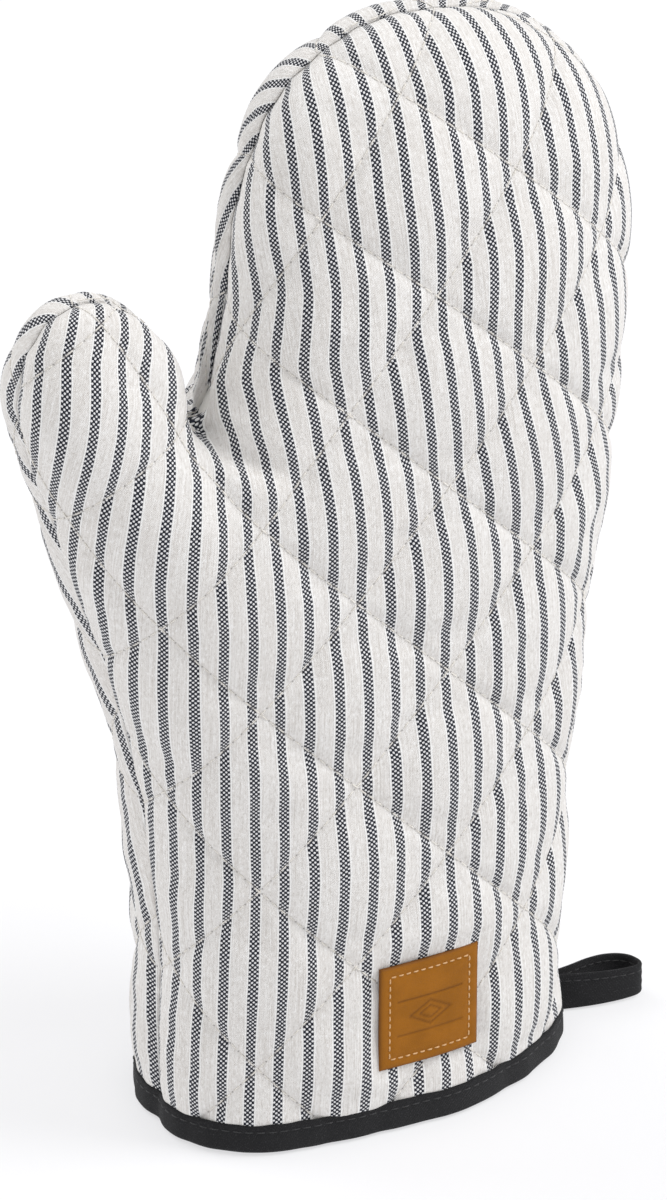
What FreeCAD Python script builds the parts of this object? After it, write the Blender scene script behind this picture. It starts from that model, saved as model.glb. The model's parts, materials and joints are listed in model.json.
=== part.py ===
import FreeCAD, Part
import math
import os

# A quilted oven mitt that stands on its opened cuff.  Lengths are millimetres.
# +Z points from the cuff to the fingertips, the side seams lie in the plane y = 0,
# the front of the mitt faces -Y, the thumb is on the -X side and the hanging loop on +X.
# The origin is under the middle of the whole mitt, on the surface that it stands on.

doc = FreeCAD.newDocument("oven_mitt")

# ---------------------------------------------------------------- driving dimensions

# Horizontal ellipses that the hand tube passes through, from below the cuff upwards:
# height, centre on X, half width on X, half depth on Y.
HAND_SECTIONS = [
    (-6, 8.45, 61.25, 40.0),
    (12, 8.45, 61.25, 40.0),
    (60, 9.7, 62.0, 40.0),
    (110, 11.7, 63.5, 39.5),
    (160, 17.7, 65.0, 39.0),
    (200, 23.45, 63.75, 38.0),
    (232, 29.2, 61.0, 37.0),
    (262, 29.95, 59.25, 36.5),
]

# Ellipses square to the thumb's axis: distance along the axis, half width, half depth.
THUMB_SECTIONS = [
    (-45, 27.0, 25.0),
    (0, 25.0, 25.0),
    (45, 23.5, 23.0),
    (90, 23.5, 20.0),
    (130, 24.0, 17.5),
]

# How far each layer's faces lie inside the mitt's outer face.
INSETS = {
    "outer_face": 0.0,
    "outer_back": 0.7,
    "batting_face": 0.8,
    "batting_back": 5.0,
    "lining_face": 5.1,
    "lining_back": 5.7,
}

OTHER_SIZES = {
    "fingertip_rise": 58.0,
    "thumb_base_x": -31.3,
    "thumb_base_z": 110.0,
    "thumb_lean": 17.0,
    "thumb_tip_rise": 25.0,
    "seam_gap": 0.3,
    "panel_bottom": 0.9,
    "binding_height": 9.0,
    "binding_cloth": 0.6,
    "binding_clearance": 0.3,
    "patch_centre_x": 13.5,
    "patch_bottom": 20.5,
    "patch_width": 30.2,
    "patch_height": 31.5,
    "patch_leather": 1.4,
    "patch_clearance": 0.25,
    "patch_stitch_inset": 3.0,
    "loop_axis_x": 72.8,
    "loop_axis_y": -4.0,
    "loop_bottom": 0.4,
    "loop_tape_width": 11.0,
    "loop_tape_cloth": 1.2,
    "loop_root_half": 1.6,
    "loop_reach": 16.4,
    "loop_eye_radius": 4.5,
    "quilt_pitch": 55.0,
    "stitch_length": 2.6,
    "thread_radius": 0.2,
    "seam_thread_radius": 0.1,
}

sheet = doc.addObject("Spreadsheet::Sheet", "Sizes")


def fill_sheet():
    """Write every driving dimension in the sheet, one row each, under its own name."""
    rows = []
    for number, (height, centre, half_width, half_depth) in enumerate(HAND_SECTIONS, 1):
        rows.append(("hand_height_" + str(number), height))
        rows.append(("hand_centre_" + str(number), centre))
        rows.append(("hand_halfwidth_" + str(number), half_width))
        rows.append(("hand_halfdepth_" + str(number), half_depth))
    for number, (distance, half_width, half_depth) in enumerate(THUMB_SECTIONS, 1):
        rows.append(("thumb_distance_" + str(number), distance))
        rows.append(("thumb_halfwidth_" + str(number), half_width))
        rows.append(("thumb_halfdepth_" + str(number), half_depth))
    rows += [("inset_" + name, value) for name, value in INSETS.items()]
    rows += list(OTHER_SIZES.items())
    for row, (alias, value) in enumerate(rows, 1):
        sheet.set("A" + str(row), alias)
        sheet.set("B" + str(row), str(value))
        sheet.setAlias("B" + str(row), alias)
    doc.recompute()


def size(alias):
    """The value that the sheet holds under this name."""
    return float(getattr(sheet, alias))


def bind(thing, **expressions):
    """Bind properties to expressions; a double underscore stands for a dot."""
    for name, expression in expressions.items():
        thing.setExpression(name.replace("__", "."), expression)
    return thing


# ---------------------------------------------------------------- solid forms of the mitt

HAND_TOP = len(HAND_SECTIONS)
THUMB_TOP = len(THUMB_SECTIONS)
LEAN = math.radians(OTHER_SIZES["thumb_lean"])


def hand_tube(layer):
    """The loft through the hand's ellipses, drawn in by one layer's inset."""
    inset = "Sizes.inset_" + layer
    rings = []
    for number in range(1, HAND_TOP + 1):
        index = str(number)
        ring = doc.addObject("Part::Ellipse", "HandRing_" + layer + "_" + index)
        bind(
            ring,
            MajorRadius="Sizes.hand_halfwidth_" + index + " - " + inset,
            MinorRadius="Sizes.hand_halfdepth_" + index + " - " + inset,
            Placement__Base__x="Sizes.hand_centre_" + index,
            Placement__Base__z="Sizes.hand_height_" + index,
        )
        rings.append(ring)
    tube = doc.addObject("Part::Loft", "HandTube_" + layer)
    tube.Sections = rings
    tube.Solid = True
    return tube


def fingertip_dome(layer):
    """The upper half of an ellipsoid that closes the hand tube."""
    inset = "Sizes.inset_" + layer
    top = str(HAND_TOP)
    dome = doc.addObject("Part::Ellipsoid", "Fingertips_" + layer)
    dome.Angle1 = 0
    dome.Angle2 = 90
    return bind(
        dome,
        Radius1="Sizes.fingertip_rise - " + inset,
        Radius2="Sizes.hand_halfwidth_" + top + " - " + inset,
        Radius3="Sizes.hand_halfdepth_" + top + " - " + inset,
        Placement__Base__x="Sizes.hand_centre_" + top,
        Placement__Base__z="Sizes.hand_height_" + top,
    )


def place_on_thumb_axis(thing, distance):
    """Stand a piece on the thumb's axis, at this distance from its base, leaning with it."""
    turn = FreeCAD.Rotation(FreeCAD.Vector(0, 1, 0), -OTHER_SIZES["thumb_lean"])
    thing.Placement = FreeCAD.Placement(FreeCAD.Vector(), turn)
    return bind(
        thing,
        Placement__Base__x="Sizes.thumb_base_x - " + distance + " * sin(Sizes.thumb_lean)",
        Placement__Base__z="Sizes.thumb_base_z + " + distance + " * cos(Sizes.thumb_lean)",
    )


def thumb_tube(layer):
    """The loft through the thumb's ellipses, drawn in by one layer's inset."""
    inset = "Sizes.inset_" + layer
    rings = []
    for number in range(1, THUMB_TOP + 1):
        index = str(number)
        ring = doc.addObject("Part::Ellipse", "ThumbRing_" + layer + "_" + index)
        place_on_thumb_axis(ring, "Sizes.thumb_distance_" + index)
        bind(
            ring,
            MajorRadius="Sizes.thumb_halfwidth_" + index + " - " + inset,
            MinorRadius="Sizes.thumb_halfdepth_" + index + " - " + inset,
        )
        rings.append(ring)
    tube = doc.addObject("Part::Loft", "ThumbTube_" + layer)
    tube.Sections = rings
    tube.Solid = True
    return tube


def thumb_tip(layer):
    """The upper half of an ellipsoid that closes the thumb tube."""
    inset = "Sizes.inset_" + layer
    top = str(THUMB_TOP)
    tip = doc.addObject("Part::Ellipsoid", "ThumbTip_" + layer)
    tip.Angle1 = 0
    tip.Angle2 = 90
    place_on_thumb_axis(tip, "Sizes.thumb_distance_" + top)
    return bind(
        tip,
        Radius1="Sizes.thumb_tip_rise - " + inset,
        Radius2="Sizes.thumb_halfwidth_" + top + " - " + inset,
        Radius3="Sizes.thumb_halfdepth_" + top + " - " + inset,
    )


def mitt_form(layer):
    """A solid mitt, hand and thumb in one, whose skin is one layer's face."""
    form = doc.addObject("Part::MultiFuse", "Form_" + layer)
    form.Shapes = [hand_tube(layer), fingertip_dome(layer), thumb_tube(layer), thumb_tip(layer)]
    return form


# ---------------------------------------------------------------- cloth and padding

HALF_SPAN = 150.0
MITT_TOP = 340.0


def half_space(side):
    """A box that holds everything on one side of the seam plane, above the cuff's fold."""
    box = doc.addObject("Part::Box", "HalfSpace_" + side)
    box.Length = 2 * HALF_SPAN
    box.Width = HALF_SPAN
    box.Height = MITT_TOP
    bind(box, Placement__Base__z="Sizes.panel_bottom")
    box.setExpression("Placement.Base.x", str(-HALF_SPAN))
    if side == "front":
        bind(box, Placement__Base__y=str(-HALF_SPAN) + " - Sizes.seam_gap / 2")
    else:
        bind(box, Placement__Base__y="Sizes.seam_gap / 2")
    return box


def layer_shell(name, outer, inner):
    """The closed bag of one layer: what lies between two nested mitt forms."""
    shell = doc.addObject("Part::Cut", "Shell_" + name)
    shell.Base = outer
    shell.Tool = inner
    return shell


def make_panels(forms):
    """Front and back panels of the outer cloth, the batting and the lining."""
    sides = {"front": half_space("front"), "back": half_space("back")}
    shells = {
        "outer_panel": layer_shell("outer", forms["outer_face"], forms["outer_back"]),
        "batting": layer_shell("batting", forms["batting_face"], forms["batting_back"]),
        "lining": layer_shell("lining", forms["lining_face"], forms["lining_back"]),
    }
    panels = []
    for layer, shell in shells.items():
        for side, box in sides.items():
            panel = doc.addObject("Part::Common", side + "_" + layer)
            panel.Base = shell
            panel.Tool = box
            panel.Label = side + "_" + layer
            panels.append(panel)
    return panels


# ---------------------------------------------------------------- cuff binding

def cuff_ellipse(name, growth, height):
    """The cuff's outline at one height, grown outwards by an expression."""
    ring = doc.addObject("Part::Ellipse", name)
    return bind(
        ring,
        MajorRadius="Sizes.hand_halfwidth_1 + (" + growth + ")",
        MinorRadius="Sizes.hand_halfdepth_1 + (" + growth + ")",
        Placement__Base__x="Sizes.hand_centre_1",
        Placement__Base__z=height,
    )


def cuff_prism(name, growth, bottom, top):
    """An upright elliptical prism that follows the cuff's outline."""
    prism = doc.addObject("Part::Loft", name)
    lower = cuff_ellipse(name + "_lower", growth, bottom)
    upper = cuff_ellipse(name + "_upper", growth, top)
    prism.Sections = [lower, upper]
    prism.Solid = True
    prism.Ruled = True
    return prism


def make_binding():
    """Tape folded round the raw edges of all the layers: a ring with a U section."""
    outside = "Sizes.binding_clearance"
    inside = "-Sizes.inset_lining_back - Sizes.binding_clearance"
    over = "Sizes.binding_height + 1"
    body = cuff_prism("BindingBody", outside + " + Sizes.binding_cloth", "0", "Sizes.binding_height")
    mouth = cuff_prism("BindingMouth", inside + " - Sizes.binding_cloth", "-1", over)
    slot_outside = cuff_prism("BindingSlotOutside", outside, "Sizes.binding_cloth", over)
    slot_inside = cuff_prism("BindingSlotInside", inside, "0", over)
    slot = doc.addObject("Part::Cut", "BindingSlot")
    slot.Base = slot_outside
    slot.Tool = slot_inside
    removed = doc.addObject("Part::MultiFuse", "BindingRemoved")
    removed.Shapes = [mouth, slot]
    binding = doc.addObject("Part::Cut", "cuff_binding")
    binding.Base = body
    binding.Tool = removed
    binding.Label = "cuff_binding"
    return binding


# ---------------------------------------------------------------- leather patch

def make_patch():
    """A leather rectangle, bent to the cuff's front."""
    face = "Sizes.patch_clearance + Sizes.patch_leather"
    top = "Sizes.patch_bottom + Sizes.patch_height + 1"
    outer = cuff_prism("PatchOuter", face, "0", top)
    inner = cuff_prism("PatchInner", "Sizes.patch_clearance", "-1", top + " + 1")
    plate = doc.addObject("Part::Cut", "PatchPlate")
    plate.Base = outer
    plate.Tool = inner
    outline = doc.addObject("Part::Box", "PatchOutline")
    bind(
        outline,
        Length="Sizes.patch_width",
        Width="Sizes.hand_halfdepth_1 * 2",
        Height="Sizes.patch_height",
        Placement__Base__x="Sizes.patch_centre_x - Sizes.patch_width / 2",
        Placement__Base__y="-Sizes.hand_halfdepth_1 * 2",
        Placement__Base__z="Sizes.patch_bottom",
    )
    patch = doc.addObject("Part::Common", "leather_patch")
    patch.Base = plate
    patch.Tool = outline
    patch.Label = "leather_patch"
    return patch


# ---------------------------------------------------------------- hanging loop

def place_at_loop_root(thing):
    """Put a piece that is drawn about the loop's root on the line that the loop swings about."""
    return bind(
        thing,
        Placement__Base__x="Sizes.loop_axis_x",
        Placement__Base__y="Sizes.loop_axis_y",
        Placement__Base__z="Sizes.loop_bottom",
    )


def tangent_point(half_root, reach, radius):
    """Where a straight run from (0, half_root) touches the arc about (reach, 0)."""
    distance = math.hypot(reach, half_root)
    towards_root = math.atan2(half_root, -reach)
    angle = towards_root - math.acos(radius / distance)
    return reach + radius * math.cos(angle), radius * math.sin(angle)


def add_drop(sketch, start_x, half_root, reach, radius):
    """A closed drop outline: a flat root, two straight runs and a round free end."""
    touch_x, touch_y = tangent_point(half_root, reach - start_x, radius)
    touch_x += start_x
    above = FreeCAD.Vector(touch_x, touch_y, 0)
    below = FreeCAD.Vector(touch_x, -touch_y, 0)
    tip = FreeCAD.Vector(reach + radius, 0, 0)
    root_above = FreeCAD.Vector(start_x, half_root, 0)
    root_below = FreeCAD.Vector(start_x, -half_root, 0)
    sketch.addGeometry(Part.LineSegment(root_above, above), False)
    sketch.addGeometry(Part.Arc(above, tip, below), False)
    sketch.addGeometry(Part.LineSegment(below, root_below), False)
    sketch.addGeometry(Part.LineSegment(root_below, root_above), False)


def make_loop():
    """A tape folded back on itself into a flat loop, its width standing upright."""
    body = doc.addObject("PartDesign::Body", "hanging_loop")
    body.Label = "hanging_loop"
    sketch = body.newObject("Sketcher::SketchObject", "LoopOutline")
    plane = [item for item in body.Origin.OriginFeatures if item.Role == "XY_Plane"][0]
    sketch.AttachmentSupport = [(plane, "")]
    sketch.MapMode = "FlatFace"
    cloth = size("loop_tape_cloth")
    radius = size("loop_eye_radius")
    reach = size("loop_reach")
    add_drop(sketch, 0.0, size("loop_root_half"), reach, radius + cloth)
    add_drop(sketch, 2 * cloth, size("loop_root_half") - cloth, reach, radius)
    pad = body.newObject("PartDesign::Pad", "LoopTape")
    pad.Profile = sketch
    bind(pad, Length="Sizes.loop_tape_width")
    return place_at_loop_root(body)


# ---------------------------------------------------------------- stitches

def stitch(centre, direction, radius, length):
    """One visible stitch: a short straight piece of thread."""
    direction = FreeCAD.Vector(direction)
    direction.normalize()
    start = centre - direction * (length / 2)
    return Part.makeCylinder(radius, length, start, direction)


def stitch_group(name, stitches):
    """All the stitches of one seam, as separate solids in one piece."""
    group = doc.addObject("Part::Feature", name)
    group.Shape = Part.makeCompound(stitches)
    group.Label = name
    return group


CLEAR = 0.12                      # air between a thread and what it lies on
QUILT_EDGE = 9.0                  # no quilting stitches nearer to the side seam plane than this
QUILT_LOW = 14.0                  # nor below this height
QUILT_LINES = range(-4, 9)
SLICE_STEP = 2.5
SLICES_PER_STITCH = 4
BINDING_STITCHES = 60
BINDING_STITCH_DROP = 1.5         # from the binding's upper edge
PATCH_STITCHES_PER_SIDE = 11
PATCH_STITCH_LENGTH = 1.4
LOOP_STITCHES_PER_RUN = 4
LOOP_STITCH_DROP = 1.6            # from the loop's upper edge
SEAM_STITCH_SPACING = 9.0
SEAM_STITCH_LOW = 3.0             # above the binding


def patch_covers(point):
    """Whether the leather patch lies over this place."""
    beside = abs(point.x - size("patch_centre_x")) - size("patch_width") / 2
    above = point.z - size("patch_bottom") - size("patch_height")
    below = size("patch_bottom") - point.z
    return point.y < 0 and max(beside, above, below) < size("stitch_length")


def surface_stitch(first, last):
    """A stitch along the chord between two points of a skin, lifted clear of it."""
    radius = size("thread_radius")
    run = last - first
    outward = FreeCAD.Vector(0, math.copysign(1, first.y), 0)
    lift = outward - run * (outward.dot(run) / run.dot(run))
    lift.normalize()
    centre = (first + last) / 2 + lift * (radius * 2 + CLEAR * 2)
    return stitch(centre, run, radius, size("stitch_length"))


def make_quilting(form):
    """Stitches on both outer panels, along the two diagonal families of the quilting."""
    centre = size("hand_centre_4")
    stitches = {"front": [], "back": []}
    for slope in (1, -1):
        across = FreeCAD.Vector(1, 0, -slope) / math.sqrt(2)
        for line in QUILT_LINES:
            through = FreeCAD.Vector(centre, 0, line * size("quilt_pitch"))
            for wire in form.slice(across, across.dot(through)):
                points = wire.discretize(Distance=SLICE_STEP)
                for first, last in list(zip(points, points[1:]))[::SLICES_PER_STITCH]:
                    shallow = min(abs(first.y), abs(last.y)) < QUILT_EDGE
                    if shallow or first.z < QUILT_LOW or patch_covers(first):
                        continue
                    side = "front" if first.y < 0 else "back"
                    stitches[side].append(surface_stitch(first, last))
    return [stitch_group(side + "_quilting_thread", stitches[side]) for side in stitches]


def cuff_point(growth, angle, z):
    """A point on the cuff's outline grown outwards, and the direction along it there."""
    half_width = size("hand_halfwidth_1") + growth
    half_depth = size("hand_halfdepth_1") + growth
    x = size("hand_centre_1") + half_width * math.cos(angle)
    point = FreeCAD.Vector(x, half_depth * math.sin(angle), z)
    along = FreeCAD.Vector(-half_width * math.sin(angle), half_depth * math.cos(angle), 0)
    return point, along


def make_binding_stitching():
    """The row of stitches near the binding's upper edge."""
    radius = size("thread_radius")
    growth = size("binding_clearance") + size("binding_cloth") + radius + CLEAR
    height = size("binding_height") - BINDING_STITCH_DROP
    stitches = []
    for number in range(BINDING_STITCHES):
        angle = 2 * math.pi * (number + 0.5) / BINDING_STITCHES
        point, along = cuff_point(growth, angle, height)
        stitches.append(stitch(point, along, radius, size("stitch_length")))
    return stitch_group("binding_stitching", stitches)


def patch_face_y(x):
    """The patch's outer face, at one place across it."""
    growth = size("patch_clearance") + size("patch_leather") + size("thread_radius") + CLEAR
    across = (x - size("hand_centre_1")) / (size("hand_halfwidth_1") + growth)
    return -(size("hand_halfdepth_1") + growth) * math.sqrt(1 - across * across)


def make_patch_stitching():
    """Stitches all round the patch, a little way in from its edge."""
    inset = size("patch_stitch_inset")
    left = size("patch_centre_x") - size("patch_width") / 2 + inset
    right = size("patch_centre_x") + size("patch_width") / 2 - inset
    low = size("patch_bottom") + inset
    high = size("patch_bottom") + size("patch_height") - inset
    radius = size("thread_radius")
    stitches = []
    for number in range(PATCH_STITCHES_PER_SIDE):
        share = (number + 0.5) / PATCH_STITCHES_PER_SIDE
        x = left + (right - left) * share
        z = low + (high - low) * share
        slope = (patch_face_y(x + 1) - patch_face_y(x - 1)) / 2
        along = FreeCAD.Vector(1, slope, 0)
        for level in (low, high):
            middle = FreeCAD.Vector(x, patch_face_y(x), level)
            stitches.append(stitch(middle, along, radius, PATCH_STITCH_LENGTH))
        for edge in (left, right):
            middle = FreeCAD.Vector(edge, patch_face_y(edge), z)
            stitches.append(stitch(middle, FreeCAD.Vector(0, 0, 1), radius, PATCH_STITCH_LENGTH))
    return stitch_group("patch_stitching", stitches)


def make_loop_stitching():
    """Stitches along the upper edge of both runs of the loop's tape."""
    radius = size("thread_radius")
    outer = size("loop_eye_radius") + size("loop_tape_cloth")
    touch_x, touch_y = tangent_point(size("loop_root_half"), size("loop_reach"), outer)
    root = FreeCAD.Vector(0, size("loop_root_half"), 0)
    end = FreeCAD.Vector(touch_x, touch_y, 0)
    run = end - root
    outward = FreeCAD.Vector(-run.y, run.x, 0)
    outward.normalize()
    height = size("loop_tape_width") - LOOP_STITCH_DROP
    stitches = []
    for number in range(LOOP_STITCHES_PER_RUN):
        share = (number + 0.5) / LOOP_STITCHES_PER_RUN
        middle = root + run * share + outward * (radius + CLEAR)
        for side in (1, -1):
            centre = FreeCAD.Vector(middle.x, side * middle.y, height)
            along = FreeCAD.Vector(run.x, side * run.y, 0)
            stitches.append(stitch(centre, along, radius, size("stitch_length")))
    return place_at_loop_root(stitch_group("loop_stitching", stitches))


def seam_outline(form):
    """The mitt form's outline in the seam plane, as one wire open at the cuff."""
    wide = Part.Face(Part.makePolygon([
        FreeCAD.Vector(-HALF_SPAN, 0, size("panel_bottom")),
        FreeCAD.Vector(HALF_SPAN, 0, size("panel_bottom")),
        FreeCAD.Vector(HALF_SPAN, 0, MITT_TOP),
        FreeCAD.Vector(-HALF_SPAN, 0, MITT_TOP),
        FreeCAD.Vector(-HALF_SPAN, 0, size("panel_bottom")),
    ]))
    return form.common(wide).Faces[0].OuterWire


def make_seam_stitching(form):
    """Stitches in the seam that joins the front to the back, inside the layers' thickness."""
    outline = seam_outline(form)
    low = size("binding_height") + SEAM_STITCH_LOW
    points = outline.discretize(Distance=SEAM_STITCH_SPACING)
    stitches = []
    for before, here, after in zip(points, points[1:], points[2:]):
        if here.z > low:
            stitches.append(stitch(here, after - before, size("seam_thread_radius"), size("stitch_length")))
    return stitch_group("side_seam_stitching", stitches)


# ---------------------------------------------------------------- build, check and write

def faults(thing):
    """What is wrong with a finished object, in words; nothing when it is sound."""
    found = [state for state in thing.State if state in ("Invalid", "Error")]
    if hasattr(thing, "Shape") and thing.Shape.isNull():
        found.append("null shape")
    return found


def write_pieces(pieces):
    """Check every object of the document, then write each piece to its own file."""
    bad = [(thing.Name, faults(thing)) for thing in doc.Objects if faults(thing)]
    bad += [(piece.Label, "not valid") for piece in pieces if not piece.Shape.isValid()]
    if bad:
        raise SystemExit("faulty objects: " + str(bad))
    os.makedirs("parts", exist_ok=True)
    for piece in pieces:
        shape = piece.Shape
        print(piece.Label, "solids", len(shape.Solids), "volume", round(shape.Volume, 1))
        shape.exportStep("parts/" + piece.Label + ".step")


fill_sheet()
forms = {layer: mitt_form(layer) for layer in INSETS}
pieces = make_panels(forms)
pieces += [make_binding(), make_patch(), make_loop()]
doc.recompute()
outer_form = forms["outer_face"].Shape
pieces += make_quilting(outer_form)
pieces += [make_binding_stitching(), make_patch_stitching(), make_loop_stitching()]
pieces.append(make_seam_stitching(forms["batting_face"].Shape))
doc.recompute()
write_pieces(pieces)
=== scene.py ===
"""An oven mitt of quilted striped cotton, standing on its cuff.

The mitt's form is worked out in three steps: a seam outline in the XZ plane is blown up into a rounded
form, that form is flattened into the cloth it would be cut from, and the quilted layers are meshed on
that flat cloth and carried back onto the form. Lengths are in millimetres until a mesh is made.
"""
import json
import math

import bmesh
import bpy
import numpy as np
from mathutils import Matrix, Vector
from mathutils.bvhtree import BVHTree
from mathutils.geometry import delaunay_2d_cdt
from mathutils.kdtree import KDTree

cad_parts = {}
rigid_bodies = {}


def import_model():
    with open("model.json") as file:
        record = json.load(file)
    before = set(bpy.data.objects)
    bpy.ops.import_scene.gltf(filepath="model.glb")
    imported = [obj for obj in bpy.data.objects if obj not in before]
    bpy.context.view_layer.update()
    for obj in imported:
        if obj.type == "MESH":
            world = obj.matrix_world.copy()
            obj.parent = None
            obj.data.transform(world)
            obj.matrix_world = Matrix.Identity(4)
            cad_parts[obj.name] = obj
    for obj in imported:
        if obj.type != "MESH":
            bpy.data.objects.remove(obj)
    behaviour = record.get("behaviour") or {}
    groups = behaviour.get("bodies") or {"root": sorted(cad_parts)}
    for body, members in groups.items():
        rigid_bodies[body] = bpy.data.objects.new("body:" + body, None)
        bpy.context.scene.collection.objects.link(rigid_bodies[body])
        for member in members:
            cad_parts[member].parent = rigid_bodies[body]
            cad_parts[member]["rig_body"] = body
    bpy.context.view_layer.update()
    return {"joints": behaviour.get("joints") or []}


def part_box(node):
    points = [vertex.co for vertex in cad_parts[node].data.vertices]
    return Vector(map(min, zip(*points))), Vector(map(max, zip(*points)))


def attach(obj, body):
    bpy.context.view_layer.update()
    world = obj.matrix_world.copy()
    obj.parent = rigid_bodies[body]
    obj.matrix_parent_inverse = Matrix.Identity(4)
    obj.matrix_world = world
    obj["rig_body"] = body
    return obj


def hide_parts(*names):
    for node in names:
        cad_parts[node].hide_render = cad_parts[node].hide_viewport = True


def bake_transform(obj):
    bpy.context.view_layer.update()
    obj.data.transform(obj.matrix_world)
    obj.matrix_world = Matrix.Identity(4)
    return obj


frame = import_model()

MM = 0.001
DESIGN_HEIGHT = 320.0            # the height that the seam outline below is drawn for

FRONT = -1                       # the palm, which faces the viewer
BACK = 1

# ------------------------------------------------------------------ the mitt's form
# Points (x, z) of the side seam, walked from the thumb side of the cuff, over the thumb, down to
# the crotch, over the fingertips and back to the cuff. The first and last lie below the cuff's edge.
SEAM_POINTS = [
    (-51.5, -20), (-51.5, 10), (-52, 50), (-54.5, 85), (-61, 122), (-70, 153), (-81, 187), (-90, 213),
    (-93.5, 231), (-90, 246), (-80, 256.5), (-67, 257.5), (-54.5, 247), (-45.5, 231), (-41.8, 214.5),
    (-38.6, 213.5), (-33.4, 228), (-28.5, 254), (-24, 279), (-14, 299), (1, 311), (22, 317),
    (45, 315), (65, 306), (79.5, 290), (88, 266), (90, 240), (88, 210), (83.5, 165), (77.5, 125),
    (73, 90), (70.5, 45), (69.7, 10), (69.7, -20),
]
BASE_STEP = 2.5                  # point spacing of the form's own mesh
FLATTEN_ROUNDS = 60
SLIT_POINTS = 24                 # seam points kept apart on each side of the crotch
END_RADIUS = 24.0                # how round the form's sides are, for the spacing of points near them
RINGS = 7                        # rows of closer points along the seam
SATURATION = 70.0                # width at which the filled form stops getting deeper
DEPTH_FACTOR = 1.12              # depth of the filled form
DEPTH_POWER = 0.45
WAIST = 0.065                    # how much slimmer the palm is, at what height, over what reach
WAIST_LEVEL = 150.0
WAIST_REACH = 55.0
CUFF_CENTRE = 8.7
SEAM_FORWARD = 7.0               # how far the thumb side seam sits in front of the middle
LEVEL_HALF_WIDTH = 60.0
BACK_TAPER = 0.5                 # how much flatter the back of the hand is near its seam
TAPER_REACH = 14.0
CROTCH = (-40.0, 214.0)          # x and z of the seam's low point between thumb and hand
CROTCH_HOLLOW = 0.78             # how much flatter the back is beside that point
HOLLOW_REACH = 15.0
EDGE_STIFFNESS = 0.15            # the cloth near the seam gathers before the middle stretches
EDGE_WIDTH = 22.0

# ------------------------------------------------------------------ the quilted cloth
QUILT_PITCH = 39.6
QUILT_PHASE = (65.6, -168.7)     # where the two families of stitch lines pass
CELLS = 16                       # mesh cells from one stitch line to the next
PUFF = 2.7                       # how far the padding stands out between the stitch lines
PANEL_BOTTOM = 0.9
SEAM_GAP = 0.35
LINE_SHARPNESS = 0.8             # of the stitched valleys
SEAM_THREAD_DEPTH = 1.1
STRIPE_PITCH = 7.95
STRIPE_PHASE = -0.57             # shifts all stripes sideways
STRIPE_LEAN = 0.021              # the cloth is cut a little off its grain
HAND_GATHER = 0.09               # how much closer the stripes run in the hand, where the cloth is gathered
GATHER_LEVELS = (165.0, 225.0)   # cloth heights between which the gathering sets in
GATHER_CENTRE = -25.0            # the place across the cloth that the gathering runs towards
PALM_LEAN = 0.054                # how much the stripes lean the other way in the palm
PALM_LEVELS = (85.0, 240.0)
HAND_DRIFT = [(238.0, 0.0), (256.0, 1.6), (280.0, 1.8), (305.0, 4.2)]   # cloth height, and sideways shift
THUMB_SPREAD = 0.045             # how much further apart the stripes run in the thumb
THUMB_UPRIGHT = 0.11             # how much more upright they stand there
THUMB_LEVELS = (165.0, 240.0)
THUMB_SIDE = -40.0               # x that parts thumb from hand
THUMB_SOFT = 4.0


def smooth_line(points, step):
    """Evenly spaced points along a smooth curve through the given points."""
    knots = np.array(points, float)
    knots = np.vstack([2 * knots[0] - knots[1], knots, 2 * knots[-1] - knots[-2]])
    found = []
    for k in range(1, len(knots) - 2):
        p0, p1, p2, p3 = knots[k - 1:k + 3]
        t1 = np.linalg.norm(p1 - p0) ** 0.5
        t2 = t1 + np.linalg.norm(p2 - p1) ** 0.5
        t3 = t2 + np.linalg.norm(p3 - p2) ** 0.5
        for t in np.linspace(t1, t2, 24, endpoint=False):
            a1 = (t1 - t) / t1 * p0 + t / t1 * p1
            a2 = (t2 - t) / (t2 - t1) * p1 + (t - t1) / (t2 - t1) * p2
            a3 = (t3 - t) / (t3 - t2) * p2 + (t - t2) / (t3 - t2) * p3
            b1 = (t2 - t) / t2 * a1 + t / t2 * a2
            b2 = (t3 - t) / (t3 - t1) * a2 + (t - t1) / (t3 - t1) * a3
            found.append((t2 - t) / (t2 - t1) * b1 + (t - t1) / (t2 - t1) * b2)
    found.append(knots[-2])
    return spaced(np.array(found), step)


def spaced(line, step):
    """The line again, with its points about one step apart."""
    along = np.r_[0, np.cumsum(np.linalg.norm(np.diff(line, axis=0), axis=1))]
    places = np.linspace(0, along[-1], max(2, int(round(along[-1] / step)) + 1))
    return np.stack([np.interp(places, along, line[:, k]) for k in range(line.shape[1])], 1)


def rightward(line):
    """Unit vectors to the right of a walk along a flat line."""
    heading = np.gradient(line, axis=0)
    heading /= np.linalg.norm(heading, axis=1)[:, None]
    return np.c_[heading[:, 1], -heading[:, 0]]


def is_inside(loop, points):
    """Which points lie inside a closed flat loop."""
    x, y = points[:, 0], points[:, 1]
    found = np.zeros(len(points), bool)
    for (x1, y1), (x2, y2) in zip(loop, np.roll(loop, -1, axis=0)):
        if y1 != y2:
            found ^= ((y1 > y) != (y2 > y)) & (x < (x2 - x1) * (y - y1) / (y2 - y1) + x1)
    return found


def tree_of(points):
    """A search tree over flat points."""
    tree = KDTree(len(points))
    for index, point in enumerate(points):
        tree.insert((point[0], point[1], 0), index)
    tree.balance()
    return tree


def nearest(tree, points):
    """Index of and distance to the nearest tree point, for each flat point."""
    found = [tree.find((x, y, 0)) for x, y in points]
    return np.array([f[1] for f in found]), np.array([f[2] for f in found])


def triangulate(points, rim):
    """Triangles over flat points, whose first `rim` points are the closed border."""
    border = [(k, (k + 1) % rim) for k in range(rim)]
    corners, _, faces, *_ = delaunay_2d_cdt([Vector(p) for p in points], border, [], 1, 1e-4)
    return np.array([tuple(c) for c in corners]), np.array([f for f in faces if len(f) == 3])


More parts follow.
